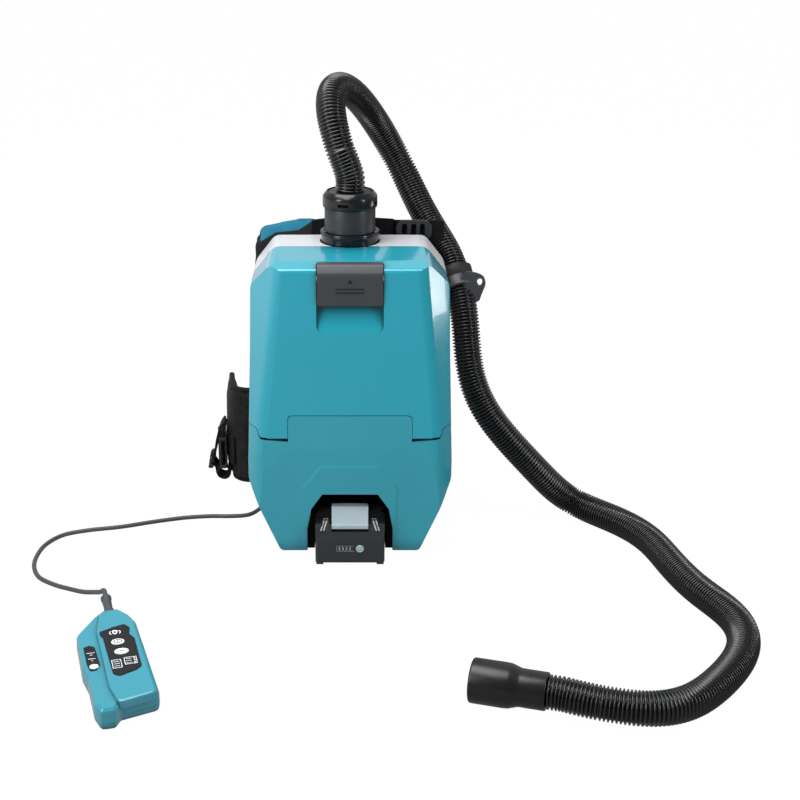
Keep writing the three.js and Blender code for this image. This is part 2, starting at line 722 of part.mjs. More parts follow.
// ---------------------------------------------------------------- battery bay
const railInner = batteryWidth / 2 - 2.6;
const railZ = batteryTop - 7;
function batteryBay() {
  const deep = [bayFront, bayBack + bayWall];
  const shellUnder = box([-far, far], [-far, far], [shellBottom - 1, far]);
  const outer = prism('y', bayCorners(bayWall), ...deep).intersect(shellUnder);
  const hollow = prism('y', bayCorners(), bayFront - 5, bayBack);
  const rails = [-1, 1].map((side) => {
    const ends = side > 0 ? [railInner, bayShoulder + 4] : [-bayShoulder - 4, -railInner];
    return box(ends, [bayFront + 12, bayBack + 1], [railZ + 0.4, railZ + 3.4])
      .intersect(prism('y', bayCorners(1), ...deep));
  });
  const cheeks = [-1, 1].map((side) => {
    const inner = batteryWidth / 2 + 0.8;
    const ends = side > 0 ? [inner, bayHalf + 1] : [-bayHalf - 1, -inner];
    return box(ends, [bayFront + 3, bayBack + 1], [shellBottom, railZ - 1])
      .intersect(prism('y', bayCorners(1), ...deep));
  });
  return joined(outer.subtract(hollow), ...rails, ...cheeks);
}
piece('battery_bay', batteryBay(), black);

piece('battery_terminal', joined(
  box([-19, 19], [-14, batteryBack], [batteryTop + 4, bayTop - fit]),
  ...[-14, -5, 5, 14].map((x) => box([x - 0.8, x + 0.8], [-10, 14], [batteryTop + 0.5, batteryTop + 5])),
), black);

// ---------------------------------------------------------------- battery
const releaseHalf = releaseWidth / 2;
const checkX = 11;
const checkZ = 20.6;
function batteryCase() {
  const half = batteryWidth / 2;
  const front = -batteryFront;
  const profile = filleted([
    [front, batterySole, 1.5],
    [front, 29.5, 2],
    [front + 7, 50, 3],
    [front + 16, 53.5, 3],
    [front + 24, batteryTop, 3],
    [batteryBack, batteryTop, 2],
    [batteryBack, batterySole, 2],
  ], 3);
  const face = filleted(mirroredX([
    [half, 0, 1.5],
    [half, batteryTop - 13, 3],
    [half - 1, batteryTop, 3],
  ]), 3);
  const plan = filleted([[-half, front - 1, 6], [half, front - 1, 6], [half, batteryBack, 3],
    [-half, batteryBack, 3]], 3);
  const shape = prism('y', face, -far, far).intersect(prism('z', plan, -1, far));
  const block = prism('x', profile, -half - 1, half + 1).intersect(shape);
  const feet = [-1, 1].map((side) => {
    const ends = side > 0 ? [half - 9, half - 1] : [1 - half, 9 - half];
    return prism('x', filleted([[front + 2, 0, 1.5], [front + 2, 8], [batteryBack - 4, 8],
      [batteryBack - 4, 0, 1.5]]), ...ends);
  });
  const grooves = [-1, 1].map((side) => {
    const ends = side > 0 ? [railInner - 0.4, half + 5] : [-half - 5, 0.4 - railInner];
    return box(ends, [front + 19, batteryBack + 5], [railZ, railZ + 3.8]);
  });
  const keyWell = box([-releaseHalf - fit, releaseHalf + fit], [front - 5, front + 27],
    [42.5 - releaseTravel, batteryTop + 5]);
  const checkWell = barY(checkButtonRadius + fit, front - 5, front + 5.5, checkX, checkZ);
  const scoops = [-1, 1].map((side) => prism('x', [
    [front - 5, 41], [front + 4, 41], [front + 21, batteryTop + 3], [front - 5, batteryTop + 3],
  ], ...(side > 0 ? [releaseHalf + 3.5, releaseHalf + 10.5] : [-releaseHalf - 10.5,
    -releaseHalf - 3.5])));
  const gaugeFrame = box([-15.5, checkX - checkButtonRadius - 1.5], [front - 2, front + 0.6],
    [checkZ - 3.5, checkZ + 3.5]);
  return cut(joined(block, ...feet), ...grooves, keyWell, checkWell, ...scoops, gaugeFrame);
}
piece('battery_case', batteryCase(), black);

function releaseKey() {
  const front = -batteryFront;
  const profile = filleted([
    [front + 3.6, 43],
    [front + 3.6, 47.5, 0.8],
    [front + 6.8, 48.5],
    [front + 16.5, 65, 1.5],
    [front + 26.5, 65],
    [front + 26.5, 43],
  ], 2);
  return prism('x', profile, -releaseHalf, releaseHalf);
}
piece('battery_release', releaseKey(), greyKey);
piece('battery_check_button', barY(checkButtonRadius, -batteryFront - 0.4, -batteryFront + 4,
  checkX, checkZ), greyKey);

// ---------------------------------------------------------------- back frame
const frameFront = rearDepth + frameGap;
const frameBack = frameFront + frameDepth;
function backFrame() {
  const half = frameWidth / 2;
  const corners = mirroredX([
    [footWidth / 2, 30, 4],
    [footWidth / 2, 62, 16],
    [half, 92, 18],
    [half, 250, 30],
    [half - 34, frameTop, 20],
  ]);
  const plate = prism('y', filleted(corners), frameFront, frameFront + 3.2);
  const rim = prism('y', filleted(corners), frameFront, frameBack)
    .subtract(prism('y', filleted(inset(corners, 5)), frameFront - 1, frameBack + 1));
  const ribs = [-30, 30].map((x) => box([x - 2, x + 2], [frameFront, frameBack],
    [34, frameTop - 3]));
  const windows = [130, 195, 260].flatMap((z) => [-1, 0, 1].map((column) =>
    prism('y', filleted([[-19, -17, 7], [19, -17, 7], [19, 17, 7], [-19, 17, 7]], 1)
      .map((p) => [p.x + column * 56, p.y + z]), frameFront - 1, frameFront + 5)));
  const foot = prism('x', filleted([
    [footY - footDepth / 2, 0, 3], [footY + footDepth / 2, 0, 3], [footY + footDepth / 2, 7, 3],
    [frameBack, 12, 8], [frameBack, 40], [frameFront, 40], [frameFront, 8],
  ]), -footWidth / 2, footWidth / 2);
  return joined(cut(plate, ...windows), rim, ...ribs, foot);
}
piece('back_frame', backFrame(), black);

// ---------------------------------------------------------------- pads and harness
const padFront = frameBack + fit;
// A stuffed pad: a rounded outline whose edges are drawn in towards its face.
function pad(corners, depth) {
  const layers = [[0, 1.2], [0.15, 0], [0.7, 0.1], [0.92, 5], [1, 14]];
  return loft(layers.map(([share, drawn]) => filleted(inset(corners, drawn), 3)
    .map((p) => [p.x, padFront + depth * share, p.y])));
}
piece('back_pad', pad(mirroredX([[72, 168, 22], [72, 282, 22]]), 15), fabric);
const lumbarHalf = wingPivotX - wingRollRadius - fit;
piece('lumbar_pad', pad(mirroredX([[lumbarHalf - 18, 42, 14], [lumbarHalf, hipLow, 16],
  [lumbarHalf, 152, 16]]), 20), fabric);

// Shoulder pads rise from the frame, fold over the crest and hang down behind.
function shoulderPad(outline, thickness, crest) {
  const root = padFront + padThickness / 2 + 0.4;
  const line = [[root, 290], [root + 1, crest - 40], [90, crest - thickness / 2],
    [104, crest - 21], [111, 290], [115, 225], [112, padFoot - 2]];
  return prism('x', strip(line, thickness, 22), -far, far)
    .intersect(prism('y', filleted(outline), -far, far));
}
piece('shoulder_pad_left', shoulderPad([
  [-38, padCrest + 5, 4], [-105, padCrest - 12, 9], [-114, padCrest - 28, 12], [-113, 290, 10],
  [-84, padFoot, 18], [-28, padFoot, 18], [-38, 290, 10],
], padThickness, padCrest), blueFabric);
piece('shoulder_pad_right', shoulderPad([
  [38, padCrest - 12, 4], [80, padCrest - 15, 8], [86, 300, 10], [90, 262, 10],
  [84, padFoot, 18], [28, padFoot, 18], [38, 290, 10],
], padThickness, padCrest - 20), blueFabric);
piece('strap_yoke', shoulderPad([[-37.4, 292], [37.4, 292], [37.4, padCrest, 6], [-37.4, padCrest, 6]],
  5, padCrest - 20)
  .intersect(box([-far, far], [-far, 100], [0, far * 2])), fabric);

const strapY = frameBack + fit;
const strapLow = frameTop + 2;
const strapHigh = strapLow + 22.5;
const strapThickness = 2.6;
piece('carry_handle', prism('y', filleted([
  [-44, strapLow + 1, 3], [-36, strapLow + 1], [-36, frameTop - 13, 2], [-26, frameTop - 13, 2],
  [-26, strapLow + 1, 4], [26, strapLow + 1, 4], [26, frameTop - 13, 2], [36, frameTop - 13, 2],
  [36, strapLow + 1], [52, strapLow, 3], [52, strapHigh + 1, 3], [20, strapHigh + 3, 20],
  [-14, strapHigh + 3.5, 20], [-44, strapHigh, 3],
], 2), strapY, strapY + strapThickness), fabric);

// Load slide: a moulded plate with three slots.
function loadSlide() {
  const plate = filleted([[53, strapLow - 0.5, 9], [94, strapLow - 0.5, 9],
    [94, strapHigh + 0.5, 9], [53, strapHigh + 0.5, 9]]);
  const body = prism('y', plate, strapY - 4.3, strapY - fit);
  const slots = [62.5, 73, 83].map((x) => prism('y', filleted([
    [x - 2.9, strapLow + 3, 2.4], [x + 2.9, strapLow + 3, 2.4],
    [x + 2.9, strapHigh - 3.5, 2.4], [x - 2.9, strapHigh - 3.5, 2.4],
  ], 3), 0, far));
  return cut(body, ...slots);
}
piece('load_slide', loadSlide(), black);
piece('strap_end', prism('y', filleted([
  [52 + fit, strapLow, 1], [108, strapLow - 2, 3], [108, strapHigh - 0.5, 3],
  [52 + fit, strapHigh, 1],
], 2), strapY, strapY + strapThickness), fabric);

// Lower webbing of the shoulder straps, from the pads down to the frame.
[-1, 1].forEach((side) => {
  const name = side < 0 ? 'shoulder_webbing_left' : 'shoulder_webbing_right';
  const line = strip([[112, padFoot - 0.4], [110, 110], [103, 72], [96, 48], [90, 34], [80, 28],
    [padFront, 28]], 2.4, 18);
  const ends = side < 0 ? [-56, -32] : [32, 56];
  piece(name, prism('x', line, ...ends), fabric);
});

// ---------------------------------------------------------------- hip belt wings
const wingLow = 30;
const wingHeight = 121;
const wingBend = 84; // degrees
const wingTail = 52;
const buckleLow = 52;

// Points and directions along the middle of the left wing, from its pivot.
function wingLine(steps) {
  const start = [-wingPivotX, wingPivotY];
  const lead = 12;
  const bend = wingRadius * toRadians(wingBend);
  const total = lead + bend + wingTail;
  return Array.from({ length: steps + 1 }, (_, k) => {
    const along = (total * k) / steps;
    const turned = THREE.MathUtils.clamp((along - lead) / wingRadius, 0, toRadians(wingBend));
    const straight = Math.min(along, lead);
    const tail = Math.max(0, along - lead - bend);
    const x = start[0] - straight - wingRadius * Math.sin(turned) - tail * Math.cos(turned);
    const y = start[1] + wingRadius * (1 - Math.cos(turned)) + tail * Math.sin(turned);
    return { x, y, heading: turned, share: along / total };
  });
}

function hipWing(side) {
  const steps = 16;
  const rings = wingLine(steps).map(({ x, y, heading, share }, k) => {
    const end = k === 0 || k === steps;
    const drawn = wingHeight * 0.42 * Math.max(0, share - 0.45) ** 1.2;
    const half = (wingHeight - drawn) / 2 - (end ? 4 : 0);
    const thick = (wingThickness / 2) * (end ? 0.55 : 1);
    const middle = wingLow + wingHeight / 2 + 0.5 * drawn - 4 * share;
    const corners = [[-thick, -half, 5], [thick, -half, 5], [thick, half, 5], [-thick, half, 5]]
      .map(([a, b, r]) => [a, b, Math.min(r, thick * 0.9)]);
    return filleted(corners, 2).map((p) => [
      side * (x - p.x * Math.sin(heading)),
      y - p.x * Math.cos(heading),
      middle + p.y,
    ]);
  });
  const roll = disc(wingRollRadius, wingLow + 8, wingLow + wingHeight - 8,
    -side * wingPivotX, wingPivotY, 16);
  return joined(loft(rings), roll);
}

// Each wing turns about a vertical line at its root; the right one lies folded behind the unit.
const rightFold = 70;
function wingGroup(side) {
  const group = new THREE.Group();
  const pivot = side > 0 ? -wingPivotX : wingPivotX;
  group.position.set(pivot, wingPivotY, 0);
  if (side < 0) group.rotation.z = toRadians(rightFold);
  const inner = new THREE.Group();
  inner.position.set(-pivot, -wingPivotY, 0);
  group.add(inner);
  unit.add(group);
  return inner;
}

// side 1 is the left wing as modelled, side -1 its mirror image on the right.
[1, -1].forEach((side) => {
  const hand = side > 0 ? 'left' : 'right';
  const group = wingGroup(side);
  piece(`hip_wing_${hand}`, hipWing(side), fabric, group);
  const path = wingLine(16);
  const outer = path.slice(5, 15).map(({ x, y, heading }) => {
    const off = wingThickness / 2 + fit + 1.1;
    return [x - off * Math.sin(heading), y - off * Math.cos(heading)];
  });
  const band = strip(outer, 2.2, 22).map((p) => [side * p.x, p.y]);
  piece(`hip_webbing_${hand}`, prism('z', band, buckleLow - 2, buckleLow + 36), fabric, group);
  const anchor = path[8];
  const off = wingThickness / 2 + fit * 2 + 2.2 + 5.5;
  const centre = [side * (anchor.x - off * Math.sin(anchor.heading)),
    anchor.y - off * Math.cos(anchor.heading)];
  const turn = new THREE.Matrix4().makeRotationZ(-side * (anchor.heading - Math.PI / 2));
  turn.setPosition(centre[0], centre[1], 0);
  const shape = new THREE.Shape(filleted([[-5.2, -21, 3], [5.2, -21, 3], [5.2, 21, 3],
    [-5.2, 21, 3]], 2));
  const block = new THREE.ExtrudeGeometry(shape, { depth: 40, bevelEnabled: false });
  const mouth = new THREE.BoxGeometry(5, 30, 32).translate(0, -14, 20);
  const buckle = solid(block.translate(0, 0, buckleLow - 6).applyMatrix4(turn))
    .subtract(solid(mouth.translate(0, 0, buckleLow - 6).applyMatrix4(turn)));
  piece(`hip_buckle_${hand}`, buckle, black, group);
});

// ---------------------------------------------------------------- control cord
const glandLength = 24;
function cordGland() {
  const from = rearDepth - wall + 0.2;
  const body = new THREE.LatheGeometry([
    [0, from - 3], [glandRadius, from - 3], [glandRadius, rearDepth + fit + 0.4],
    [glandRadius + 1.8, rearDepth + fit + 0.4], [glandRadius + 1.8, rearDepth + 4],
    [glandRadius - 0.2, rearDepth + 5.5], [cordRadius + 0.7, rearDepth + glandLength],
    [0, rearDepth + glandLength],
  ].map(([r, y]) => new THREE.Vector2(r, y)), 14);
  return solid(body.translate(glandX, 0, glandZ));
}
piece('cord_gland', cordGland(), greyRubber);

// The cord leaves the rear shell low on the left, drops to the floor behind the housing, and runs
// in one loop to the control box.
const cordRest = cordRadius + 0.2;
const cordStart = rearDepth + glandLength + fit;
const cordPoints = [
  [glandX, cordStart, glandZ],
  [glandX, cordStart + 7, glandZ],
  [-77, 102, 28],
  [-82, 110, 17],
  [-91, 109, 8],
  [-101, 98, cordRest + 1],
  [-106, 76, cordRest],
  [-111, 53, cordRest],
  [-123, 37, cordRest],
  [-143, 33, cordRest],
  [-168, 33, cordRest],
  [-198, 28.5, cordRest],
  [-230, 18.5, cordRest],
  [-273, 2, cordRest],
  [-311, -8, cordRest],
  [-336, -20.5, cordRest],
  [-351, -44.5, cordRest],
  [-356, -73, cordRest],
  [-354, -103, cordRest],
  [-343, -130, cordRest],
  [-322, -150, cordRest + 1],
  [-302, -166, cordRest + 4],
  [-285, -184, cordRest + 10],
  [-270, -204, cordRest + 20],
  [-259, -225, cordRest + 31],
];

// A tube along chosen points, with an even number of straight steps.
function tube(points, radius, steps, sides) {
  const curve = new THREE.CatmullRomCurve3(points.map((p) => new THREE.Vector3(...p)));
  const section = new THREE.Shape(Array.from({ length: sides }, (_, k) => {
    const angle = (2 * Math.PI * k) / sides;
    return new THREE.Vector2(radius * Math.cos(angle), radius * Math.sin(angle));
  }));
  return solid(new THREE.ExtrudeGeometry(section, { steps, extrudePath: curve }));
}

// ---------------------------------------------------------------- control box
const remoteHolder = new THREE.Group();
remoteHolder.position.set(remotePlace[0], remotePlace[1],
  -remoteTail * Math.sin(toRadians(remoteTilt)));
remoteHolder.rotation.z = toRadians(remoteTurn);
const remote = new THREE.Group();
remote.rotation.x = toRadians(remoteTilt);
remoteHolder.add(remote);
unit.add(remoteHolder);

const remoteOutline = [
  [10, remoteHead, 5], [19, remoteHead - 12, 6], [24.5, remoteHead - 26, 6],
  [29.5, remoteTail + 16, 6], [-8, remoteTail + 9, 5], [-14, remoteTail, 6],
  [-28.5, remoteTail, 6], [-32.5, remoteTail + 14, 5], [-33, -19, 6], [-36.5, 0, 8],
  [-36, 50, 8], [-16, remoteHead - 10, 7], [-5, remoteHead, 4],
];
const raisedOutline = [
  [8, remoteHead - 6, 4], [16, remoteHead - 16, 6], [22, remoteHead - 30, 6],
  [26.8, remoteTail + 14, 5], [-11, remoteTail + 5.5, 5], [-16.5, -40, 8], [-17, 46, 6],
  [-10, remoteHead - 9, 4],
];
const shellLayer = (outline, layers) => loft(layers.map(([z, drawn]) =>
  filleted(inset(outline, drawn), 2).map((p) => [p.x, p.y, z])));

const panelOutline = filleted([
  [-13.7, 43.5, 2], [-1, 48.5, 6], [11, 51.5, 2], [15.5, 45, 2], [13.5, 35, 1.5], [17.4, 27, 2],
  [17.8, -17, 4], [12, -21.5, 3], [-4.5, -27.5, 3], [-9.7, -23, 3], [-11.5, 33, 1.5],
  [-13.9, 38, 1.2],
], 2);
const sidePanelOutline = filleted([
  [-31.4, 26, 2], [-26, 28.5, 4], [-21.3, 25, 2], [-19.6, -3, 2], [-23, -10, 3], [-29.6, -11, 2],
  [-31.2, 0, 3],
], 2);
const lobeTop = remoteThickness - 3;
const keyWells = [
  { name: 'power_button', x: 1.2, y: 24, wide: 13, high: 9, top: remoteThickness },
  { name: 'mode_button', x: 2.6, y: 8.4, wide: 14, high: 9, top: remoteThickness },
  { name: 'side_button', x: -25.4, y: -5.6, wide: 9, high: 7, top: lobeTop },
];
const keyTravel = 1;
const keyDepth = 3;
const panelThickness = 0.6;

function remoteTop() {
  const base = shellLayer(remoteOutline, [[remoteSplit + fit, 0], [lobeTop - 5, 0.3],
    [lobeTop - 2, 1.4], [lobeTop, 4]]);
  const raised = shellLayer(raisedOutline, [[lobeTop - 6, 0], [remoteThickness - 2.5, 0.2],
    [remoteThickness - 0.8, 1], [remoteThickness, 2.6]]);
  const wells = keyWells.map(({ x, y, wide, high, top }) =>
    prism('z', oval(x, y, wide + 2 * fit, high + 2 * fit),
      top - keyDepth - keyTravel - fit, top + 5));
  const seat = prism('z', grown(panelOutline, fit), remoteThickness - panelThickness, far);
  const sideSeat = prism('z', grown(sidePanelOutline, fit), lobeTop - panelThickness, far);
  const relief = barY(reliefRadius + fit, remoteHead - 9, remoteHead + 9, reliefX, reliefZ, 20);
  return cut(joined(base, raised), ...wells, seat, sideSeat, relief);
}

// An outline moved outwards from its middle by a small gap.
function grown(outline, gap) {
  const middle = outline.reduce((sum, p) => sum.add(p), new THREE.Vector2())
    .divideScalar(outline.length);
  return outline.map((p) => {
    const away = p.clone().sub(middle);
    return p.clone().addScaledVector(away.clone().normalize(), gap * 2);
  });
}

const reliefRadius = 5.5;
const reliefX = 1.5;
const reliefZ = 17;
const clipPivot = { y: 50, z: -12.3, radius: 1.5 };
function remoteBottom() {
  const body = shellLayer(remoteOutline, [[0, 4], [2, 1.4], [4.5, 0.3], [remoteSplit, 0]]);
  const lugs = [[-15, -11.3], [9.3, 13]].map((ends) => prism('x', filleted([
    [clipPivot.y - 8, 2], [clipPivot.y - 3.4, clipPivot.z - 3, 2.5],
    [clipPivot.y + 3.4, clipPivot.z - 3, 2.5], [clipPivot.y + 5, 2],
  ], 3), ...ends));
  const pin = barX(clipPivot.radius, -12, 10, clipPivot.y, clipPivot.z, 12);
  const relief = barY(reliefRadius + fit, remoteHead - 9, remoteHead + 9, reliefX, reliefZ, 20);
  return joined(body, ...lugs, pin).subtract(relief);
}
piece('remote_upper_shell', remoteTop(), teal, remote);
piece('remote_lower_shell', remoteBottom(), teal, remote);

function panel(outline, top, keys) {
  const plate = prism('z', outline, top - panelThickness + fit, top + 0.5);
  return cut(plate, ...keys.map(({ x, y, wide, high }) =>
    prism('z', oval(x, y, wide + 2 * fit, high + 2 * fit), top - 5, top + 5)));
}
piece('remote_panel', panel(panelOutline, remoteThickness, keyWells.slice(0, 2)), black, remote);
piece('remote_side_panel', panel(sidePanelOutline, lobeTop, keyWells.slice(2)), black, remote);
keyWells.forEach(({ name, x, y, wide, high, top }) => {
  piece(name, prism('z', oval(x, y, wide, high), top - keyDepth, top + 1.4), white, remote);
});

function beltClip() {
  const { y, z, radius } = clipPivot;
  const arm = strip([[y + 12, z - 4.8], [y, z - 3.1], [y - 20, z - 0.5], [y - 40, z + 2.3],
    [y - 52, z + 5], [y - 60, z + 8.2], [y - 68, z + 7]], 2.2, 14);
  const knuckle = barX(radius + runningGap + 1.7, -10.6, 8.6, y, z, 20);
  const bore = barX(radius + runningGap, -20, 20, y, z, 16);
  return cut(joined(prism('x', arm, -10.6, 8.6), knuckle), bore);
}
piece('belt_clip', beltClip(), black, remote);

// Tapered strain relief at the cord end of the control box.
const reliefLength = 29;
function remoteRelief() {
  const profile = [
    [0, remoteHead - 7], [reliefRadius, remoteHead - 7], [reliefRadius, remoteHead + 4],
    [reliefRadius - 1.2, remoteHead + 8], [cordRadius + 2.2, remoteHead + reliefLength - 7],
    [cordRadius + 3, remoteHead + reliefLength - 4], [cordRadius + 3, remoteHead + reliefLength - 1],
    [cordRadius + 1, remoteHead + reliefLength], [0, remoteHead + reliefLength],
  ];
  const body = new THREE.LatheGeometry(profile.map(([r, y]) => new THREE.Vector2(r, y)), 14);
  return solid(body.translate(reliefX, 0, reliefZ));
}
piece('remote_strain_relief', remoteRelief(), greyRubber, remote);

// The cord meets the tip of the strain relief square on.
remoteHolder.updateMatrixWorld(true);
const tip = (beyond) => new THREE.Vector3(reliefX, remoteHead + reliefLength + beyond, reliefZ)
  .applyMatrix4(remote.matrixWorld).toArray();
piece('control_cord', tube([...cordPoints, tip(12), tip(fit)], cordRadius, 64, 8), greyRubber);

// ---------------------------------------------------------------- hose
const floorRest = hoseRadius + 0.4;
const cuffRadius = 21.5;
const cuffStart = [183.5, -402, cuffRadius + 0.05];
const cuffEnd = [114.5, -380.5, cuffRadius + 0.05];
const bandPlace = { from: [119, 99, 307], to: [132, 64, 262] };
const hosePoints = [
  [0, portY, fittingTop + fit],
  [0, portY, fittingTop + 15],
  [-5, portY, fittingTop + 31],
  [-12, 28, 450],
  [-18.5, 32, 470],
  [-23, 42, 489],
  [-23, 58, 503],
  [-17, 82, 510],
  [-6, 110, 504],
  [8, 138, 489],
  [23.5, 162, 466],
  [38.5, 176, 441],
  [54, 180, 414],
  [70, 170, 383],
  [86.5, 149, 351.5],
  [105, 122, 325],
  bandPlace.from,
  [125.5, 81.5, 284.5],
  bandPlace.to,
  [135.6, 47, 224],
  [138.5, 36, 188],
  [149.5, 29, 155.5],
  [166, 25, 129],
  [187, 23, 104],
  [209.5, 23, 79.2],
  [231.5, 26, 54.4],
  [250, 33, 33],
  [267.5, 36, 20],
  [285, 21, floorRest],
  [309, -4, floorRest],
  [329, -32, floorRest],
  [344, -67, floorRest],
  [353, -117, floorRest],
  [362, -160, floorRest],
  [374, -198, floorRest],
  [388, -227, floorRest],
  [396.5, -259, floorRest],
  [394.5, -294, floorRest],
  [382, -329, floorRest],
  [363.5, -359, floorRest],
  [342, -387, floorRest],
  [317, -413, floorRest],
  [290, -427, floorRest + 0.5],
  [260, -427, floorRest + 1.5],
  [232, -419.5, floorRest + 3],
  [210, -411.5, cuffStart[2] - 0.6],
];

// A corrugated tube: a crest and a root ring for each rib outside, a plain bore inside.
function corrugated(points, ribs, sides) {
  const curve = new THREE.CatmullRomCurve3(points.map((p) => new THREE.Vector3(...p)), false,
    'centripetal');
  curve.arcLengthDivisions = 2000;
  const stations = 2 * ribs + 1;
  const frames = curve.computeFrenetFrames(stations - 1, false);
  const boreStepCount = 10; // rings passed over between two rings of the bore
  const ring = (k, radius) => {
    const middle = curve.getPointAt(k / (stations - 1));
    return Array.from({ length: sides }, (_, j) => {
      const angle = (2 * Math.PI * j) / sides;
      return middle.clone()
        .addScaledVector(frames.normals[k], radius * Math.cos(angle))
        .addScaledVector(frames.binormals[k], radius * Math.sin(angle)).toArray();
    });
  };
  const outer = Array.from({ length: stations }, (_, k) =>
    ring(k, hoseRadius - (k % 2 ? 0 : hoseRibDepth)));
  const inner = [];
  for (let k = 0; k < stations; k += boreStepCount) inner.push(ring(k, hoseBore - 0.5));
  const rings = [...outer, ...inner.reverse()];
  const places = rings.flat(2);
  const index = [];
  for (let i = 0; i < rings.length; i++) {
    const next = (i + 1) % rings.length;
    for (let j = 0; j < sides; j++) {
      const corner = [i * sides + j, i * sides + ((j + 1) % sides), next * sides + j,
        next * sides + ((j + 1) % sides)];
      index.push(corner[0], corner[1], corner[3], corner[0], corner[3], corner[2]);
    }
  }
  const geometry = new THREE.BufferGeometry();
  geometry.setAttribute('position', new THREE.Float32BufferAttribute(places, 3));
  geometry.setIndex(index);
  console.log(`hose length ${curve.getLength().toFixed(0)} mm`);
  return solid(geometry);
}
const along = new THREE.Vector3(...cuffEnd).sub(new THREE.Vector3(...cuffStart)).normalize();
const hoseEnd = new THREE.Vector3(...cuffStart).addScaledVector(along, -fit);
const hoseSquare = new THREE.Vector3(...cuffStart).addScaledVector(along, -14);
piece('hose', corrugated([...hosePoints, hoseSquare.toArray(), hoseEnd.toArray()], ribCount, 8),
  rubber);

// Turns a lathe body's +y axis from one point towards another.
function aimed(geometry, from, to) {
  const start = new THREE.Vector3(...from);
  const direction = new THREE.Vector3(...to).sub(start).normalize();
  const turn = new THREE.Quaternion().setFromUnitVectors(new THREE.Vector3(0, 1, 0), direction);
  return geometry.applyQuaternion(turn).translate(...start.toArray());
}

// Tool cuff at the free end: a small end on the hose, a taper and a wide mouth.
const cuffLength = 72;
function hoseCuff() {
  const profile = [
    [hoseBore, 0], [cuffRadius - 4, 0], [cuffRadius - 3.4, 1.5], [cuffRadius - 3.4, 26],
    [cuffRadius - 0.3, 36], [cuffRadius - 0.3, 38], [cuffRadius, 39], [cuffRadius, cuffLength - 2],
    [cuffRadius - 1, cuffLength], [cuffRadius - 4.2, cuffLength], [cuffRadius - 4.6, 34],
    [hoseBore, 30], [hoseBore, 0],
  ].map(([r, y]) => new THREE.Vector2(r, y));
  return solid(aimed(new THREE.LatheGeometry(profile, 24), cuffStart, cuffEnd));
}
piece('hose_cuff', hoseCuff(), rubber);

// Smooth band on the hose, with a triangular ear for a strap hook.
const bandLength = 27;
function hoseBand() {
  const middle = bandPlace.from.map((v, i) => (v + bandPlace.to[i]) / 2);
  const away = new THREE.Vector3(...bandPlace.to).sub(new THREE.Vector3(...middle)).normalize();
  const low = new THREE.Vector3(...middle).addScaledVector(away, -bandLength / 2);
  const inner = hoseRadius + 2 * fit;
  const profile = [
    [inner, 0], [inner + 2, 0], [inner + 2.8, 1.2], [inner + 2.8, bandLength - 4],
    [inner + 3.8, bandLength - 3], [inner + 3.8, bandLength], [inner, bandLength], [inner, 0],
  ].map(([r, y]) => new THREE.Vector2(r, y));
  const ring = solid(aimed(new THREE.LatheGeometry(profile, 24), low.toArray(), bandPlace.to));
  const ear = filleted([[-4, 4, 3], [3.5, 12.5, 3], [20, 9.5, 8], [27.5, 1, 7], [20.5, -18, 9],
    [19, -24, 3], [9, -25, 3]], 3).map((p) => [p.x, p.y]);
  const [x, , z] = middle;
  const face = middle[1] - inner - 3.6;
  const hook = prism('y', ear.map(([a, b]) => [a + x + 6, b + z + 3]), face, face + 6)
    .subtract(prism('y', oval(x + 25, z + 3, 9, 9), face - 5, face + 20));
  const clearing = solid(aimed(new THREE.CylinderGeometry(inner, inner, 120, 24), middle,
    bandPlace.to));
  return joined(ring, hook).subtract(clearing);
}
piece('hose_band', hoseBand(), black);

export default unit;
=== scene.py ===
"""Backpack vacuum cleaner: the fine surfaces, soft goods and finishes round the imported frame.

Metres, +Z up, +X to the right seen from the front, +Y towards the wearer's back.
"""
import json
import math

import bmesh
import bpy
import numpy as np
from mathutils import Matrix, Vector

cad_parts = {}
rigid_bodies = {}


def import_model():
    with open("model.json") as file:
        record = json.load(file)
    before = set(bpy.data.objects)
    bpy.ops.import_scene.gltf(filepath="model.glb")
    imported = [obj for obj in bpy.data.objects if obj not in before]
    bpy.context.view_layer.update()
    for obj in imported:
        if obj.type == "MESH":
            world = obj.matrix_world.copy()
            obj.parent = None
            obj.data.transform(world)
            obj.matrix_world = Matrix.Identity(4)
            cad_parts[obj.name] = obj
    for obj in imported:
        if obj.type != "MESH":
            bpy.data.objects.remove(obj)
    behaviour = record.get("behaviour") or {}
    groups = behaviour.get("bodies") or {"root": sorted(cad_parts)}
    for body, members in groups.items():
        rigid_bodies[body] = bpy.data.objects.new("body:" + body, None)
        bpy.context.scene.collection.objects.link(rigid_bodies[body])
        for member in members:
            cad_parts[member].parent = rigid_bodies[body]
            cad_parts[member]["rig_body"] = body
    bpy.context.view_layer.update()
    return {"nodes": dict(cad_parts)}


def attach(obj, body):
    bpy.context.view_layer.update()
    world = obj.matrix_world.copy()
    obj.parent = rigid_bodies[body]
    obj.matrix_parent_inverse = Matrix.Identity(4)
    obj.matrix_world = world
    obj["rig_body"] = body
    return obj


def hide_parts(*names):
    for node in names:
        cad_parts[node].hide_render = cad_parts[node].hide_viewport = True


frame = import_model()
nodes = frame["nodes"]

# ---------------------------------------------------------------- camera
# The photograph is a product shot from a little above: the lens looks 20 degrees down at the
# unit's middle from about 1.7 m, and the picture is shifted right to take in the hose.
camera = bpy.data.objects.new("camera", bpy.data.cameras.new("camera"))
camera.location = (0, -1.694, 0.753)
camera.rotation_euler = (math.radians(90 - 20), 0, 0)
camera.data.lens = 67.5
camera.data.sensor_width = 36
camera.data.shift_x = 0.0625
bpy.context.scene.collection.objects.link(camera)
bpy.context.scene.camera = camera
bpy.context.scene.view_settings.view_transform = "Standard"

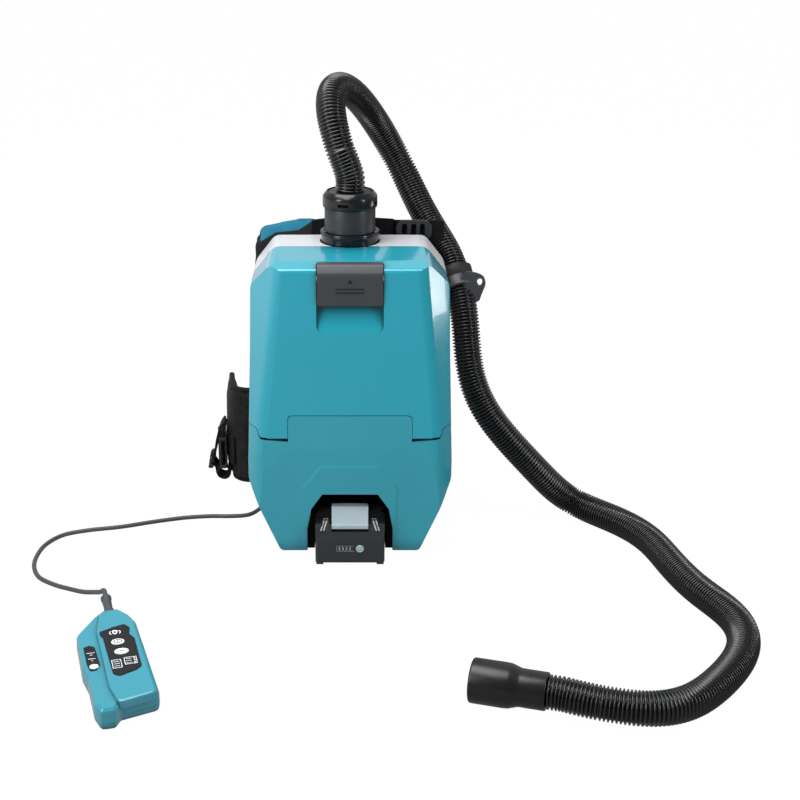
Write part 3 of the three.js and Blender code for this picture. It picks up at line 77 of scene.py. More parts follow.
# ---------------------------------------------------------------- suction hose
# A crush-proof corrugated hose of blow-moulded EVA, 33 mm across its ribs, one rib every 3.8 mm.
# It is screwed on its end fitting above the port and held in the soft cuff at its free end, and
# it stands up in a tight arch before it falls beside the housing and runs over the floor.


def srgb(code):
    """An sRGB colour such as "2f9fb2" as linear values with alpha."""
    parts = [int(code[i:i + 2], 16) / 255 for i in (0, 2, 4)]
    return [c / 12.92 if c <= 0.04045 else ((c + 0.055) / 1.055) ** 2.4 for c in parts] + [1]


def put(tree, kind, inputs=None, **settings):
    """Adds a shader node. Inputs that are sockets are linked, and others are set as values."""
    made = tree.nodes.new("ShaderNode" + kind)
    for key, value in settings.items():
        setattr(made, key, value)
    for key, value in (inputs or {}).items():
        if isinstance(value, bpy.types.NodeSocket):
            tree.links.new(value, made.inputs[key])
        else:
            made.inputs[key].default_value = value
    return made


def start_material(name, **shader):
    """A new material: its tree, its Principled shader and Object coordinates."""
    made = bpy.data.materials.new(name)
    made.use_nodes = True
    tree = made.node_tree
    principled = tree.nodes["Principled BSDF"]
    for key, value in shader.items():
        principled.inputs[key.replace("_", " ").title().replace("Ior", "IOR")].default_value = value
    place = put(tree, "TexCoord").outputs["Object"]
    return made, tree, principled, place


def moulded(name, colour, shade, roughness, grain, depth, patch=0.04, **shader):
    """Moulded plastic: two close tones in soft patches, uneven gloss and a fine skin texture.
    grain is the size of the texture, depth its height and patch the size of the patches, all
    in metres."""
    made, tree, principled, place = start_material(name, **shader)
    cloud = put(tree, "TexNoise", {"Vector": place, "Scale": 1 / patch, "Detail": 3})
    tone = put(tree, "Mix", {"Factor": cloud.outputs["Fac"], "A": srgb(colour),
                             "B": srgb(shade)}, data_type="RGBA")
    skin = put(tree, "TexNoise", {"Vector": place, "Scale": 1 / grain, "Detail": 2})
    gloss = put(tree, "MapRange", {"Value": skin.outputs["Fac"], "From Min": 0.3,
                                   "From Max": 0.7, "To Min": roughness * 0.9,
                                   "To Max": roughness * 1.12})
    bump = put(tree, "Bump", {"Height": skin.outputs["Fac"], "Strength": 0.5, "Distance": depth})
    tree.links.new(tone.outputs["Result"], principled.inputs["Base Color"])
    tree.links.new(gloss.outputs["Result"], principled.inputs["Roughness"])
    tree.links.new(bump.outputs["Normal"], principled.inputs["Normal"])
    return made


def shade_corners(made, reach, dark):
    """Painted shade: the base colour darkens in the inner corners of a moulding, where other faces
    lie within reach metres, down to dark times its own value.
    """
    tree = made.node_tree
    shader = tree.nodes["Principled BSDF"]
    plain = shader.inputs["Base Color"].links[0].from_socket
    near = put(tree, "AmbientOcclusion", {"Distance": reach})
    open_part = put(tree, "MapRange", {"Value": near.outputs["AO"], "From Min": 0.6,
                                       "From Max": 0.99, "To Min": dark, "To Max": 1})
    whole = put(tree, "Mix", {"Factor": 1.0, "A": plain, "B": open_part.outputs["Result"]},
                data_type="RGBA", blend_type="MULTIPLY")
    tree.links.new(whole.outputs["Result"], shader.inputs["Base Color"])


# Satin black EVA under a thin clear coat, with painted shade darkening the grooves between the
# ribs.
hose_eva = moulded("hose_eva", "1a1b1e", "232427", 0.28, 0.0012, 0.000004, coat_weight=0.4,
                   coat_roughness=0.2)
shade_corners(hose_eva, 0.005, 0.04)


parting_to_foot = 75


def row(points):
    """Millimetres from the housing's parting plane, as metres from the middle of the foot."""
    return [Vector((x / 1000, (y - parting_to_foot) / 1000, z / 1000)) for x, y, z in points]


def route(points, step=0.001, relax=0, end_run=50):
    """Evenly spaced points of the centripetal Catmull-Rom curve through the given ones. All but
    end_run points at each end are then eased relax times towards their neighbours."""
    knots = [2 * points[0] - points[1], *points, 2 * points[-1] - points[-2]]
    parts = 40
    dense = []
    for before, start, end, after in zip(knots, knots[1:], knots[2:], knots[3:]):
        gaps = [math.sqrt((b - a).length) for a, b in
                ((before, start), (start, end), (end, after))]
        leave = ((start - before) / gaps[0] - (end - before) / (gaps[0] + gaps[1])
                 + (end - start) / gaps[1]) * gaps[1]
        arrive = ((end - start) / gaps[1] - (after - start) / (gaps[1] + gaps[2])
                  + (after - end) / gaps[2]) * gaps[1]
        for k in range(parts):
            t = k / parts
            dense.append(start + leave * t + (3 * (end - start) - 2 * leave - arrive) * t ** 2
                         + (leave + arrive - 2 * (end - start)) * t ** 3)
    dense.append(points[-1])
    places = np.array([tuple(p) for p in dense])
    walked = np.concatenate([[0], np.cumsum(np.linalg.norm(np.diff(places, axis=0), axis=1))])
    evenly = np.linspace(0, walked[-1], max(2, round(walked[-1] / step)))
    line = np.stack([np.interp(evenly, walked, places[:, a]) for a in range(3)], 1)
    for _ in range(relax):
        line[end_run:-end_run] = (line[end_run - 1:-end_run - 1] + 2 * line[end_run:-end_run]
                                  + line[end_run + 1:1 - end_run]) / 4
    return walked[-1], [Vector(p) for p in line]


def bend(bm, line, length):
    """Lays a mesh that stands on the z axis along a line, turning as little as it can."""
    ahead = [(b - a).normalized() for a, b in zip(line, line[1:])]
    ahead.append(ahead[-1])
    side = [ahead[0].orthogonal().normalized()]
    for a, b in zip(ahead, ahead[1:]):
        side.append((a.rotation_difference(b) @ side[-1]).normalized())
    last = len(line) - 1
    for v in bm.verts:
        at = min(max(v.co.z / length, 0), 1) * last
        low = min(int(at), last - 1)
        part = at - low
        middle = line[low].lerp(line[low + 1], part)
        along = ahead[low].lerp(ahead[low + 1], part).normalized()
        across = side[low].lerp(side[low + 1], part)
        across = (across - along * across.dot(along)).normalized()
        v.co = middle + across * v.co.x + along.cross(across) * v.co.y


def spun(profile, steps=96, closed=True):
    """A profile of (radius, height) pairs in metres turned about the z axis."""
    bm = bmesh.new()
    ring = [bm.verts.new((r, 0, z)) for r, z in profile]
    edges = [bm.edges.new(pair) for pair in zip(ring, ring[1:])]
    if closed:
        edges.append(bm.edges.new((ring[-1], ring[0])))
    bmesh.ops.spin(bm, geom=ring + edges, cent=(0, 0, 0), axis=(0, 0, 1), dvec=(0, 0, 0),
                   angle=math.tau, steps=steps, use_merge=True)
    bmesh.ops.remove_doubles(bm, verts=bm.verts, dist=1e-6)
    return bm


def finish(bm, name, finishes, body, stands_for=(), sharp=40):
    """Turns a bmesh into a piece that rides on a body and stands for CAD nodes."""
    bmesh.ops.recalc_face_normals(bm, faces=bm.faces)
    mesh = bpy.data.meshes.new(name)
    bm.to_mesh(mesh)
    bm.free()
    for finish_of in finishes if isinstance(finishes, list) else [finishes]:
        mesh.materials.append(finish_of)
    mesh.shade_smooth()
    mesh.set_sharp_from_angle(angle=math.radians(sharp))
    made = bpy.data.objects.new(name, mesh)
    bpy.context.scene.collection.objects.link(made)
    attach(made, body)
    if stands_for:
        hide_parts(*stands_for)
    return made


cuff_start, cuff_end = row([[183.5, -402, 21.55], [114.5, -380.5, 21.55]])
cuff_way = (cuff_end - cuff_start).normalized()
rest = 17  # the hose's centre above the floor
hose_route = row([
    [0, 27, 401.5], [0, 27, 416.2], [-5, 27, 432.2], [-12, 28, 450], [-18.5, 32, 470],
    [-23, 42, 489], [-23, 58, 503], [-17, 82, 510], [-6, 110, 504], [8, 138, 489],
    [23.5, 162, 466], [38.5, 176, 441], [54, 180, 414], [70, 170, 383], [86.5, 149, 351.5],
    [105, 122, 325], [119, 99, 307], [125.5, 81.5, 284.5], [132, 64, 262], [135.6, 47, 224],
    [138.5, 36, 188], [149.5, 29, 155.5], [166, 25, 129], [187, 23, 104], [209.5, 23, 79.2],
    [231.5, 26, 54.4], [250, 33, 33], [267.5, 36, 20], [285, 21, rest], [309, -4, rest],
    [329, -32, rest], [344, -67, rest], [353, -117, rest], [362, -160, rest],
    [374, -198, rest], [388, -227, rest], [396.5, -259, rest], [394.5, -294, rest],
    [382, -329, rest], [363.5, -359, rest], [342, -387, rest], [317, -413, rest],
    [290, -427, rest + 0.5], [260, -427, rest + 1.5], [232, -419.5, rest + 3],
    [210, -411.5, 20.95],
]) + [cuff_start - cuff_way * 0.014, cuff_start - cuff_way * 0.0003]
hose_length, hose_line = route(hose_route, relax=900)
rib_count = 390
pitch = hose_length / rib_count
bore_radius = 0.0125
bore_steps = 200
# One rib, as shares of the pitch and radii in mm, from groove to groove.
rib = [(0.0, 13.9), (0.14, 14.2), (0.3, 16.1), (0.5, 16.6), (0.7, 16.1), (0.86, 14.2)]
outer = [(r / 1000, (k + share) * pitch) for k in range(rib_count) for share, r in rib]
inner = [(bore_radius, hose_length * k / bore_steps) for k in range(bore_steps + 1)]
hose_mesh = spun(outer + [(0.014, hose_length)] + inner[::-1], steps=36)
bend(hose_mesh, hose_line, hose_length)
hose = finish(hose_mesh, "suction_hose", hose_eva, "unit", ["hose"], sharp=180)

# ---------------------------------------------------------------- hose cuff and hose band
# The free end carries a soft PVC cuff that takes a suction tube: a collar glued on the hose, a
# shoulder and a wide smooth mouth. Further up, a clipped nylon band with a flat ear and a
# teardrop hole hangs the hose on a belt hook.

# PVC with a soft wide shine, and glass-filled nylon with a fine satin grain.
cuff_pvc = moulded("cuff_pvc", "101113", "17181a", 0.33, 0.002, 0.00003)
black_nylon = moulded("black_nylon", "1c1d20", "232528", 0.36, 0.0006, 0.00003)


def aim(bm, start, end):
    """Moves a mesh that stands on the z axis to start, pointing at end."""
    turn = Vector((0, 0, 1)).rotation_difference((end - start).normalized()).to_matrix().to_4x4()
    bmesh.ops.transform(bm, matrix=Matrix.Translation(start) @ turn, verts=bm.verts)


def mm(pairs):
    """Millimetres as metres."""
    return [tuple(v / 1000 for v in pair) for pair in pairs]


cuff_mesh = spun(mm([
    (13, 0), (17.1, 0), (17.8, 0.3), (18.1, 1.2), (18.1, 24.5), (18.3, 26.4), (19.2, 29),
    (20.2, 32), (21.0, 34.6), (21.25, 36), (21.3, 38), (21.5, 39.2), (21.5, 70), (21.2, 71.3),
    (20.5, 72), (17.6, 72), (17.2, 71.4), (17.0, 70.5), (16.9, 34), (13, 30),
]))
aim(cuff_mesh, cuff_start, cuff_end)
cuff = finish(cuff_mesh, "suction_cuff", cuff_pvc, "unit", ["hose_cuff"], sharp=50)

band_from, band_to = row([[119, 99, 307], [132, 64, 262]])
band_middle = (band_from + band_to) / 2
band_way = (band_to - band_middle).normalized()
band_mesh = spun(mm([
    (17.2, 0), (19.2, 0), (19.8, 0.5), (20, 1.4), (20, 12.6), (19.7, 13), (19.7, 14), (20, 14.4),
    (20, 22.6), (20.4, 23.2), (21, 24), (21, 26.4), (20.6, 27), (17.2, 27),
]))
aim(band_mesh, band_middle - band_way * 0.0135, band_to)


def outline_face(bm, corners, place):
    """Fills an outline given as (a, b, radius) in mm; place turns (a, b) into a row point."""
    made = bm.faces.new([bm.verts.new(place(a, b)) for a, b, _ in corners])
    rounded = {v: r for v, (_, _, r) in zip(list(made.verts), corners) if r > 0}
    for radius in sorted(set(rounded.values())):
        picked = [v for v, r in rounded.items() if r == radius and v.is_valid]
        bmesh.ops.bevel(bm, geom=picked, offset=radius / 1000, offset_type="OFFSET", segments=8,
                        profile=0.5, affect="VERTICES", material=-1)
    return bm.faces


def plate(bm, corners, place, push, holes=()):
    """A flat plate: an outline with holes, pushed along a vector."""
    flat = bmesh.new()
    outline_face(flat, corners, place)
    for hole in holes:
        other = bmesh.new()
        outline_face(other, hole, place)
        ring = [v.co.copy() for f in other.faces for v in f.verts]
        other.free()
        verts = [flat.verts.new(co) for co in ring]
        for pair in zip(verts, verts[1:] + verts[:1]):
            flat.edges.new(pair)
    if holes:
        bmesh.ops.delete(flat, geom=list(flat.faces), context="FACES_ONLY")
        bmesh.ops.triangle_fill(flat, use_beauty=True, edges=flat.edges)
    sheet = list(flat.faces)
    raised = bmesh.ops.extrude_face_region(flat, geom=sheet)["geom"]
    bmesh.ops.translate(flat, vec=push, verts=[g for g in raised
                                               if isinstance(g, bmesh.types.BMVert)])
    bmesh.ops.dissolve_limit(flat, angle_limit=0.01, verts=flat.verts, edges=flat.edges)
    mesh = bpy.data.meshes.new("part")
    bmesh.ops.recalc_face_normals(flat, faces=flat.faces)
    flat.to_mesh(mesh)
    flat.free()
    bm.from_mesh(mesh)
    bpy.data.meshes.remove(mesh)


band_bore = 0.0172
ear_thick = 0.0028
ear_centre = band_middle + Vector((0.006, 0, 0.003))
ear_front = band_middle.y - band_bore - 0.0036


def on_ear(a, b, y=0):
    """A point on the ear's front, in mm from its centre, as a row point."""
    return Vector((ear_centre.x + a / 1000, ear_front + y, ear_centre.z + b / 1000))


plate(band_mesh, [(-4, 4, 3), (3.5, 12.5, 3), (20, 9.5, 8), (27.5, 1, 7), (20.5, -18, 9),
                  (19, -24, 3), (9, -25, 3)], on_ear, Vector((0, ear_thick, 0)),
      [[(15, 1, 2), (18.6, 4.6, 2.4), (22.6, 1.2, 2.4), (20.6, -4.6, 1.6), (18, -5, 1.6)]])
lying = Matrix.Rotation(math.radians(90), 4, "X")
for a, b in ((2.5, 8.5), (13, -20.5)):
    bmesh.ops.create_cone(band_mesh, cap_ends=True, segments=24, radius1=0.0014, radius2=0.0014,
                          depth=0.0012, matrix=Matrix.Translation(on_ear(a, b, -0.0003)) @ lying)
plate(band_mesh, [(-2.4, 5, 1), (1.2, 5, 1), (11.5, -22, 1), (8, -22.6, 1)], on_ear,
      Vector((0, -0.0007, 0)))
# The band is coarse spark-eroded nylon that hardly shines; the ear is the same nylon, painted a
# lighter grey for the light it catches.
dull_nylon = moulded("dull_nylon", "17181b", "1d1e21", 0.6, 0.0006, 0.00005)
painted_light_ear_nylon = moulded("painted_light_ear_nylon", "3d3f43", "484a4e", 0.4, 0.0006, 0.00005)
band = finish(band_mesh, "hose_hook_band", [dull_nylon, painted_light_ear_nylon], "unit",
              ["hose_band"], sharp=50)
for face in band.data.polygons:
    face.material_index = int(face.center.y < ear_front + ear_thick + 0.0001)


def round_edges(made, width, segments=2, angle=30):
    """Gives edges that turn by more than angle degrees their mould radius."""
    rounding = made.modifiers.new("mould_radius", "BEVEL")
    rounding.width = width
    rounding.segments = segments
    rounding.limit_method = "ANGLE"
    rounding.angle_limit = math.radians(angle)


round_edges(band, 0.0004, angle=50)

# ---------------------------------------------------------------- control cord
# A round five-core lead in grey PVC, 5 mm thick. It leaves a moulded gland low in the rear shell,
# lies on the floor in one wide loop and climbs into the control box's strain relief.

# Flexible PVC with a matt talced face.
cord_pvc = moulded("cord_pvc", "3b3d41", "45474b", 0.45, 0.0009, 0.00003)
cord_radius = 0.0025
low = 2.7  # the lead's centre above the floor
cord_route = row([
    [-76, 82.3, 34], [-76, 89.3, 34], [-77, 102, 28], [-82, 110, 17], [-91, 109, 8],
    [-101, 98, low + 1], [-106, 76, low], [-111, 53, low], [-123, 37, low], [-143, 33, low],
    [-168, 33, low], [-198, 28.5, low], [-230, 18.5, low], [-273, 2, low], [-311, -8, low],
    [-336, -20.5, low], [-351, -44.5, low], [-356, -73, low], [-354, -103, low],
    [-343, -130, low], [-322, -150, low + 1], [-302, -166, low + 4], [-285, -184, low + 10],
    [-270, -204, low + 20], [-259, -225, low + 31], [-251.57, -243.27, 44.39],
    [-248.38, -254.41, 42.76],
])


def bent_rod(line, length, radius, rings, steps):
    """A round rod with closed ends, laid along a line."""
    side = [(radius, length * k / rings) for k in range(rings + 1)]
    bm = spun([(0.0, 0.0), *side, (0.0, length)], steps=steps, closed=False)
    bend(bm, line, length)
    return bm


cord_length, cord_line = route(cord_route)
cord_mesh = bent_rod(cord_line, cord_length, cord_radius, 400, 20)
cord = finish(cord_mesh, "control_lead", cord_pvc, "unit", ["control_cord"],
              sharp=60)

# Gland and strain relief: short tapered rubber boots, moulded on the lead.
gland_mesh = spun(mm([
    (0, 0), (4.2, 0), (4.2, 6.3), (6.0, 6.6), (6.2, 7.4), (6.0, 9.4), (4.6, 10.6),
    (3.9, 14), (3.5, 18), (3.2, 26.2), (2.6, 26.8), (0, 26.8),
]), closed=False)
aim(gland_mesh, *row([[-76, 55.2, 34], [-76, 82, 34]]))
finish(gland_mesh, "lead_gland", cord_pvc, "unit", ["cord_gland"])

# ---------------------------------------------------------------- housing shells
# Injection-moulded ABS with a polished face: a white rear shell, a teal lower housing and a teal
# cover that is hinged on it. All edges have a mould radius.

# Polished ABS: sharp highlights over a faint orange peel and a slow drift of colour. The white
# grade shines less.
teal_abs = moulded("teal_abs", "249fb4", "2199ad", 0.17, 0.004, 0.000012, patch=0.12,
                   coat_weight=0.5, coat_roughness=0.03)
# Painted shade darkens its inner corners: the recess under the latch, the seams and other hollows.
shade_corners(teal_abs, 0.04, 0.3)
white_abs = moulded("white_abs", "cdced2", "c4c5ca", 0.32, 0.003, 0.000015, patch=0.12,
                    coat_weight=0.15, coat_roughness=0.1)


def cast(node, name, finishes, radius=0.0006, angle=30, sharp=40, segments=2, merge=2e-5):
    """A moulded copy of a CAD node: its faces joined up and its edges rounded."""
    source = nodes[node]
    bm = bmesh.new()
    bm.from_mesh(source.data)
    bmesh.ops.remove_doubles(bm, verts=bm.verts, dist=merge)
    bmesh.ops.dissolve_limit(bm, angle_limit=math.radians(0.6), verts=bm.verts, edges=bm.edges)
    made = finish(bm, name, finishes, source["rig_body"], [node], sharp=sharp)
    round_edges(made, radius, segments, angle)
    weighted = made.modifiers.new("flat_faces", "WEIGHTED_NORMAL")
    weighted.weight = 90
    weighted.keep_sharp = True
    return made


cast("rear_shell", "housing_rear", white_abs, 0.0008)

# The lower housing is a slightly greyer batch, with a low raised field round the battery bay.
teal_lower = moulded("teal_lower", "3099ac", "2d93a5", 0.2, 0.004, 0.000012, patch=0.12,
                     coat_weight=0.4, coat_roughness=0.05)
# Painted shade darkens its inner corners and seams.
shade_corners(teal_lower, 0.03, 0.35)
field_top = 0.118
field_half = 0.054
field_top_half = 0.033
field_slant = 0.77
tree = teal_lower.node_tree
shader = tree.nodes["Principled BSDF"]
place = put(tree, "TexCoord").outputs["Object"]
x, y, z = put(tree, "SeparateXYZ", {"Vector": place}).outputs
aside = put(tree, "Math", {0: x}, operation="ABSOLUTE").outputs["Value"]
over = put(tree, "Math", {0: z, 1: field_top}, operation="SUBTRACT").outputs["Value"]
beside = put(tree, "Math", {0: aside, 1: field_half}, operation="SUBTRACT")
slanted = put(tree, "Math", {0: over, 1: field_slant, 2: aside}, operation="MULTIPLY_ADD")
past_slant = put(tree, "Math", {0: slanted.outputs["Value"], 1: field_top_half},
                 operation="SUBTRACT")
sideways = put(tree, "Math", {0: past_slant.outputs["Value"],
                              1: beside.outputs["Value"]}, operation="MAXIMUM")
outside = put(tree, "Math", {0: over, 1: sideways.outputs["Value"]}, operation="MAXIMUM")
field = put(tree, "MapRange", {"Value": outside.outputs["Value"], "From Min": -0.004,
                               "From Max": 0.001, "To Min": 1, "To Max": 0},
            interpolation_type="SMOOTHSTEP")
raised = put(tree, "Bump", {"Height": field.outputs["Result"], "Strength": 1.0,
                            "Distance": 0.0011,
                            "Normal": shader.inputs["Normal"].links[0].from_socket})
tree.links.new(raised.outputs["Normal"], shader.inputs["Normal"])
cast("lower_housing", "housing_lower", teal_lower, 0.0013, segments=3)
cast("front_cover", "housing_cover", teal_abs, 0.0013, segments=3)

# ---------------------------------------------------------------- cover latch
# A black glass-filled nylon flap on a steel pin, with a satin spark-eroded face and three
# moulded marks: an arrow and two bars for the thumb.

# Charcoal nylon with a satin grain, and a dull black in the marks.
flap_nylon = moulded("flap_nylon", "393a3f", "414247", 0.38, 0.0005, 0.00003)
mark_paint = moulded("dark_mark", "060708", "0b0c0d", 0.5, 0.001, 0.00001)
cast("cover_latch", "latch_flap", flap_nylon, 0.0014, segments=4)
cast("latch_pin", "latch_axle", black_nylon, 0.0002)
flap_face = -0.16612
mark_depth = Vector((0, 0.0003, 0))
marks = bmesh.new()


def on_latch(a, b):
    """A point on the flap's face, in mm, as a row point."""
    return Vector((a / 1000, flap_face, b / 1000))


def slab(x0, y0, x1, y1):
    """The outline of a rectangle with square corners."""
    return [(x0, y0, 0), (x1, y0, 0), (x1, y1, 0), (x0, y1, 0)]


plate(marks, [(-2.8, 327.4, 0), (2.8, 327.4, 0), (0, 331.6, 0)], on_latch, mark_depth)
for height in (320.6, 316.4):
    plate(marks, slab(-15, height, 15, height + 0.9), on_latch, mark_depth)
finish(marks, "latch_marks", mark_paint, "latch")

# ---------------------------------------------------------------- hose port
# Round nylon mouldings: a collar seated in the housing, a sleeve that swivels in it, a chamfered
# lock ring with four snap windows, and inside it the fitting that the hose is screwed on.

# Nylon in two faces, polished on the rings and satin on the sleeve, and a dead black with little
# shine that is painted shade for deep hollows.
gloss_nylon = moulded("gloss_nylon", "131417", "191a1d", 0.2, 0.0008, 0.000008)
satin_nylon = moulded("satin_nylon", "26282b", "2c2e31", 0.42, 0.0006, 0.00002)
painted_shade_black = moulded("painted_shade_black", "050607", "08090a", 0.6, 0.001, 0.00004,
                    specular_ior_level=0.12)
port_centre = row([[0, 27, 0]])[0]
window_turn = Matrix.Rotation(math.radians(15), 3, "Z")


def port(profile, name, node, finish_of, windows=None):
    """A profile in mm, spun about the port. windows gives the lower and upper edge and the half
    width of four slots in its rim, which are sunk by a tenth of the radius and painted inside
    with a near-black shade."""
    bm = spun(mm(profile))
    low, high, half = windows or (0, 0, 0)
    picked = []
    for face in bm.faces:
        middle = face.calc_center_median()
        turned = window_turn @ middle
        near = min(abs(turned.x), abs(turned.y))
        in_rim = math.hypot(middle.x, middle.y) > 0.030
        if low < middle.z * 1000 < high and near * 1000 < half and in_rim:
            picked.append(face)
    if picked:
        pushed = bmesh.ops.extrude_face_region(bm, geom=picked)["geom"]
        bmesh.ops.delete(bm, geom=picked, context="FACES")
        sunk = [g for g in pushed if isinstance(g, bmesh.types.BMVert)]
        bmesh.ops.scale(bm, vec=(0.9, 0.9, 1), verts=sunk)
    bmesh.ops.translate(bm, vec=port_centre, verts=bm.verts)
    made = finish(bm, name, [finish_of, painted_shade_black], nodes[node]["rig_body"],
                  [node], sharp=35)
    # The slots' inner faces get the painted shade black.
    for face in made.data.polygons:
        radius = math.hypot(face.center.x, face.center.y - port_centre.y)
        face.material_index = int(low < face.center.z * 1000 < high and 0.026 < radius < 0.0299)


port([(26, 323.3), (28.2, 323.3), (28.2, 340.6), (32.3, 340.6), (32.3, 351.6), (32.6, 352.2),
      (33.3, 352.9), (33.5, 353.6), (33.5, 355.9), (33.2, 356.7), (32.5, 357), (30.2, 357),
      (29.6, 356.6), (29.3, 355.8), (29.0, 355.4), (26, 355.4)], "port_ring", "port_collar",
     gloss_nylon)
port([(22.8, 335), (25.6, 335), (25.6, 357.3), (28.2, 357.3), (28.5, 357.7), (28.5, 382.8),
      (28.2, 383.6), (27.5, 384), (25.1, 384), (25.1, 398), (22.8, 398)], "swivel_sleeve",
     "hose_sleeve", satin_nylon)
port([(25.5, 384.3), (29.4, 384.3), (30.1, 384.6), (30.5, 385.4), (30.5, 388.4),
      (30.5, 391.6), (30.5, 396), (30.1, 397.2), (26.7, 401.4), (26.1, 402), (25.6, 402),
      (25.2, 401.6), (25.2, 400), (25.5, 398.4)], "swivel_lock_ring",
     "hose_lock_ring", gloss_nylon, windows=(388.4, 391.6, 6.5))
port([(13, 384), (22.4, 384), (22.4, 398.3), (24.3, 398.3), (24.3, 400.7), (23.8, 401.2),
      (13, 401.2)], "hose_end_fitting", "hose_fitting", black_nylon)

# ---------------------------------------------------------------- battery and its bay
# A slide-in lithium pack in black glass-filled nylon with a grey sprung release, a row of four
# gauge lamps behind a thin frame and a round pale button that lights them.

# Pale grey ABS keys with a soft shine, a pale print, and a pale grey painted highlight on the ribs
# of the pack's shoulders.
key_grey = moulded("key_grey", "98a8b0", "a4b3ba", 0.42, 0.0008, 0.00002)
gauge_paint = moulded("gauge_paint", "9fb0b0", "a8b8b8", 0.5, 0.0005, 0.000005)
painted_highlight_nylon = moulded("painted_highlight_nylon", "85888c", "a1a3a6", 0.3, 0.0006, 0.00003, patch=0.002)
# The bay's liner is painted in the near-black of the shade deep inside the bay.
cast("battery_bay", "bay_liner", painted_shade_black, 0.0004)
cast("battery_terminal", "bay_contacts", black_nylon, 0.0002)
# The pack's top, which slides into the bay, is painted near-black as shade from the bay, and the
# rest is satin.
pack_top = 0.049
pack_shoulder = -0.164
pack = cast("battery_case", "pack_case", [satin_nylon, painted_shade_black], 0.0008)
for face in pack.data.polygons:
    face.material_index = int(face.center.z > pack_top and face.center.y > pack_shoulder)

# Two thin raised bars on each of the pack's sloped shoulders, painted pale grey as a highlight.
ribs = bmesh.new()
rib_width = 1.5
rib_rise = 14.5
for side in (-1, 1):
    for low_x, high_x in ((33.4, 29.2), (30.2, 26)):
        plate(ribs, [(low_x - rib_width, 0, 0.4), (low_x, 0, 0.4), (high_x, rib_rise, 0.4),
                     (high_x - rib_width, rib_rise, 0.4)],
              lambda a, b: Vector((side * a / 1000, -0.1672 + b * 0.00072, 0.0412 + b * 0.00072)),
              Vector((0, -0.0008, 0.0008)))
finish(ribs, "pack_shoulder_highlight_ribs", painted_highlight_nylon, "battery")
cast("battery_release", "pack_release", key_grey, 0.0005)

gauge_face = -0.16943
gauge = bmesh.new()
gauge_bars = [(-15.2, 17.4, 4.9, 17.8), (-15.2, 23.4, 4.9, 23.8), (-15.2, 17.4, -14.8, 23.8)]
gauge_bars += [(x, 18.9, x + 1.1, 22.3) for x in (-12.4, -8.4, -4.4, -0.4)]
for bar in gauge_bars:
    plate(gauge, slab(*bar), lambda a, b: Vector((a / 1000, gauge_face, b / 1000)), mark_depth)
finish(gauge, "pack_gauge", gauge_paint, "battery")
check = spun(mm([(0, 0), (4.1, 0), (4.5, 0.4), (4.5, 4.0), (4.2, 4.35), (3.5, 4.4), (3.3, 4.15),
                 (2.6, 4.1), (2.3, 4.3), (0, 4.35)]), steps=48, closed=False)
aim(check, *row([[11, -91.0, 20.6], [11, -95.4, 20.6]]))
finish(check, "pack_check_key", key_grey, "check_key", ["battery_check_button"])

# ---------------------------------------------------------------- control box
# A hand-held teal box that clips on the belt: a two-part ABS shell with a raised key field, black
# key plates with white print, three rubber keys and a sprung nylon clip underneath.

# White silicone keys without a sheen, satin black plates, polished teal ABS, and a flat white
# screen print.
key_white = moulded("key_white", "e8e9ea", "dfe1e3", 0.5, 0.001, 0.00001)
plate_black = moulded("plate_black", "0f1113", "141618", 0.45, 0.0008, 0.00001,
                      specular_ior_level=0.3)
box_teal = moulded("box_teal", "3692a5", "328da0", 0.2, 0.004, 0.000012, patch=0.05,
                   coat_weight=0.5, coat_roughness=0.03)
# Painted shade darkens the box's inner corners and seams.
shade_corners(box_teal, 0.01, 0.4)
print_white = moulded("print_white", "e6e8ea", "dddfe2", 0.5, 0.0005, 0.000004)
cast("remote_upper_shell", "box_top", box_teal, 0.0005, angle=25)
cast("remote_lower_shell", "box_bottom", box_teal, 0.0004, angle=25)
cast("remote_panel", "box_key_plate", plate_black, 0.00015)
cast("remote_side_panel", "box_side_plate", plate_black, 0.00015)
cast("power_button", "box_power_key", key_white, 0.0004)
cast("mode_button", "box_mode_key", key_white, 0.0004)
cast("side_button", "box_side_key", key_white, 0.0004)
cast("belt_clip", "box_belt_clip", black_nylon, 0.0004)
cast("remote_strain_relief", "box_lead_boot", cord_pvc, 0.0003)


box_middle = (-219, -362.3)
box_tail = 71  # from its middle to the end that rests on the floor
box_tilt = math.radians(8)
box_turn = math.radians(16)


def on_box(a, b, height):
    """A point in the control box's own millimetres as a row point."""
    y = b * math.cos(box_tilt) - height * math.sin(box_tilt)
    z = (b + box_tail) * math.sin(box_tilt) + height * math.cos(box_tilt)
    return row([[a * math.cos(box_turn) - y * math.sin(box_turn) + box_middle[0],
                 a * math.sin(box_turn) + y * math.cos(box_turn) + box_middle[1], z]])[0]


print_thick = 0.12
box_up = on_box(0, 0, 1) - on_box(0, 0, 0)


def print_on_box(bm, corners, height, holes=()):
    """A flat print on the control box, at a height in its own millimetres."""
    plate(bm, corners, lambda a, b: on_box(a, b, height), box_up * print_thick, holes)


def ellipse(x, y, wide, high, first=0, last=360, count=24):
    """The outline of an ellipse, or of a part of it between two angles."""
    turns = [math.radians(first + (last - first) * k / count) for k in range(count)]
    return [(x + wide / 2 * math.cos(t), y + high / 2 * math.sin(t), 0) for t in turns]


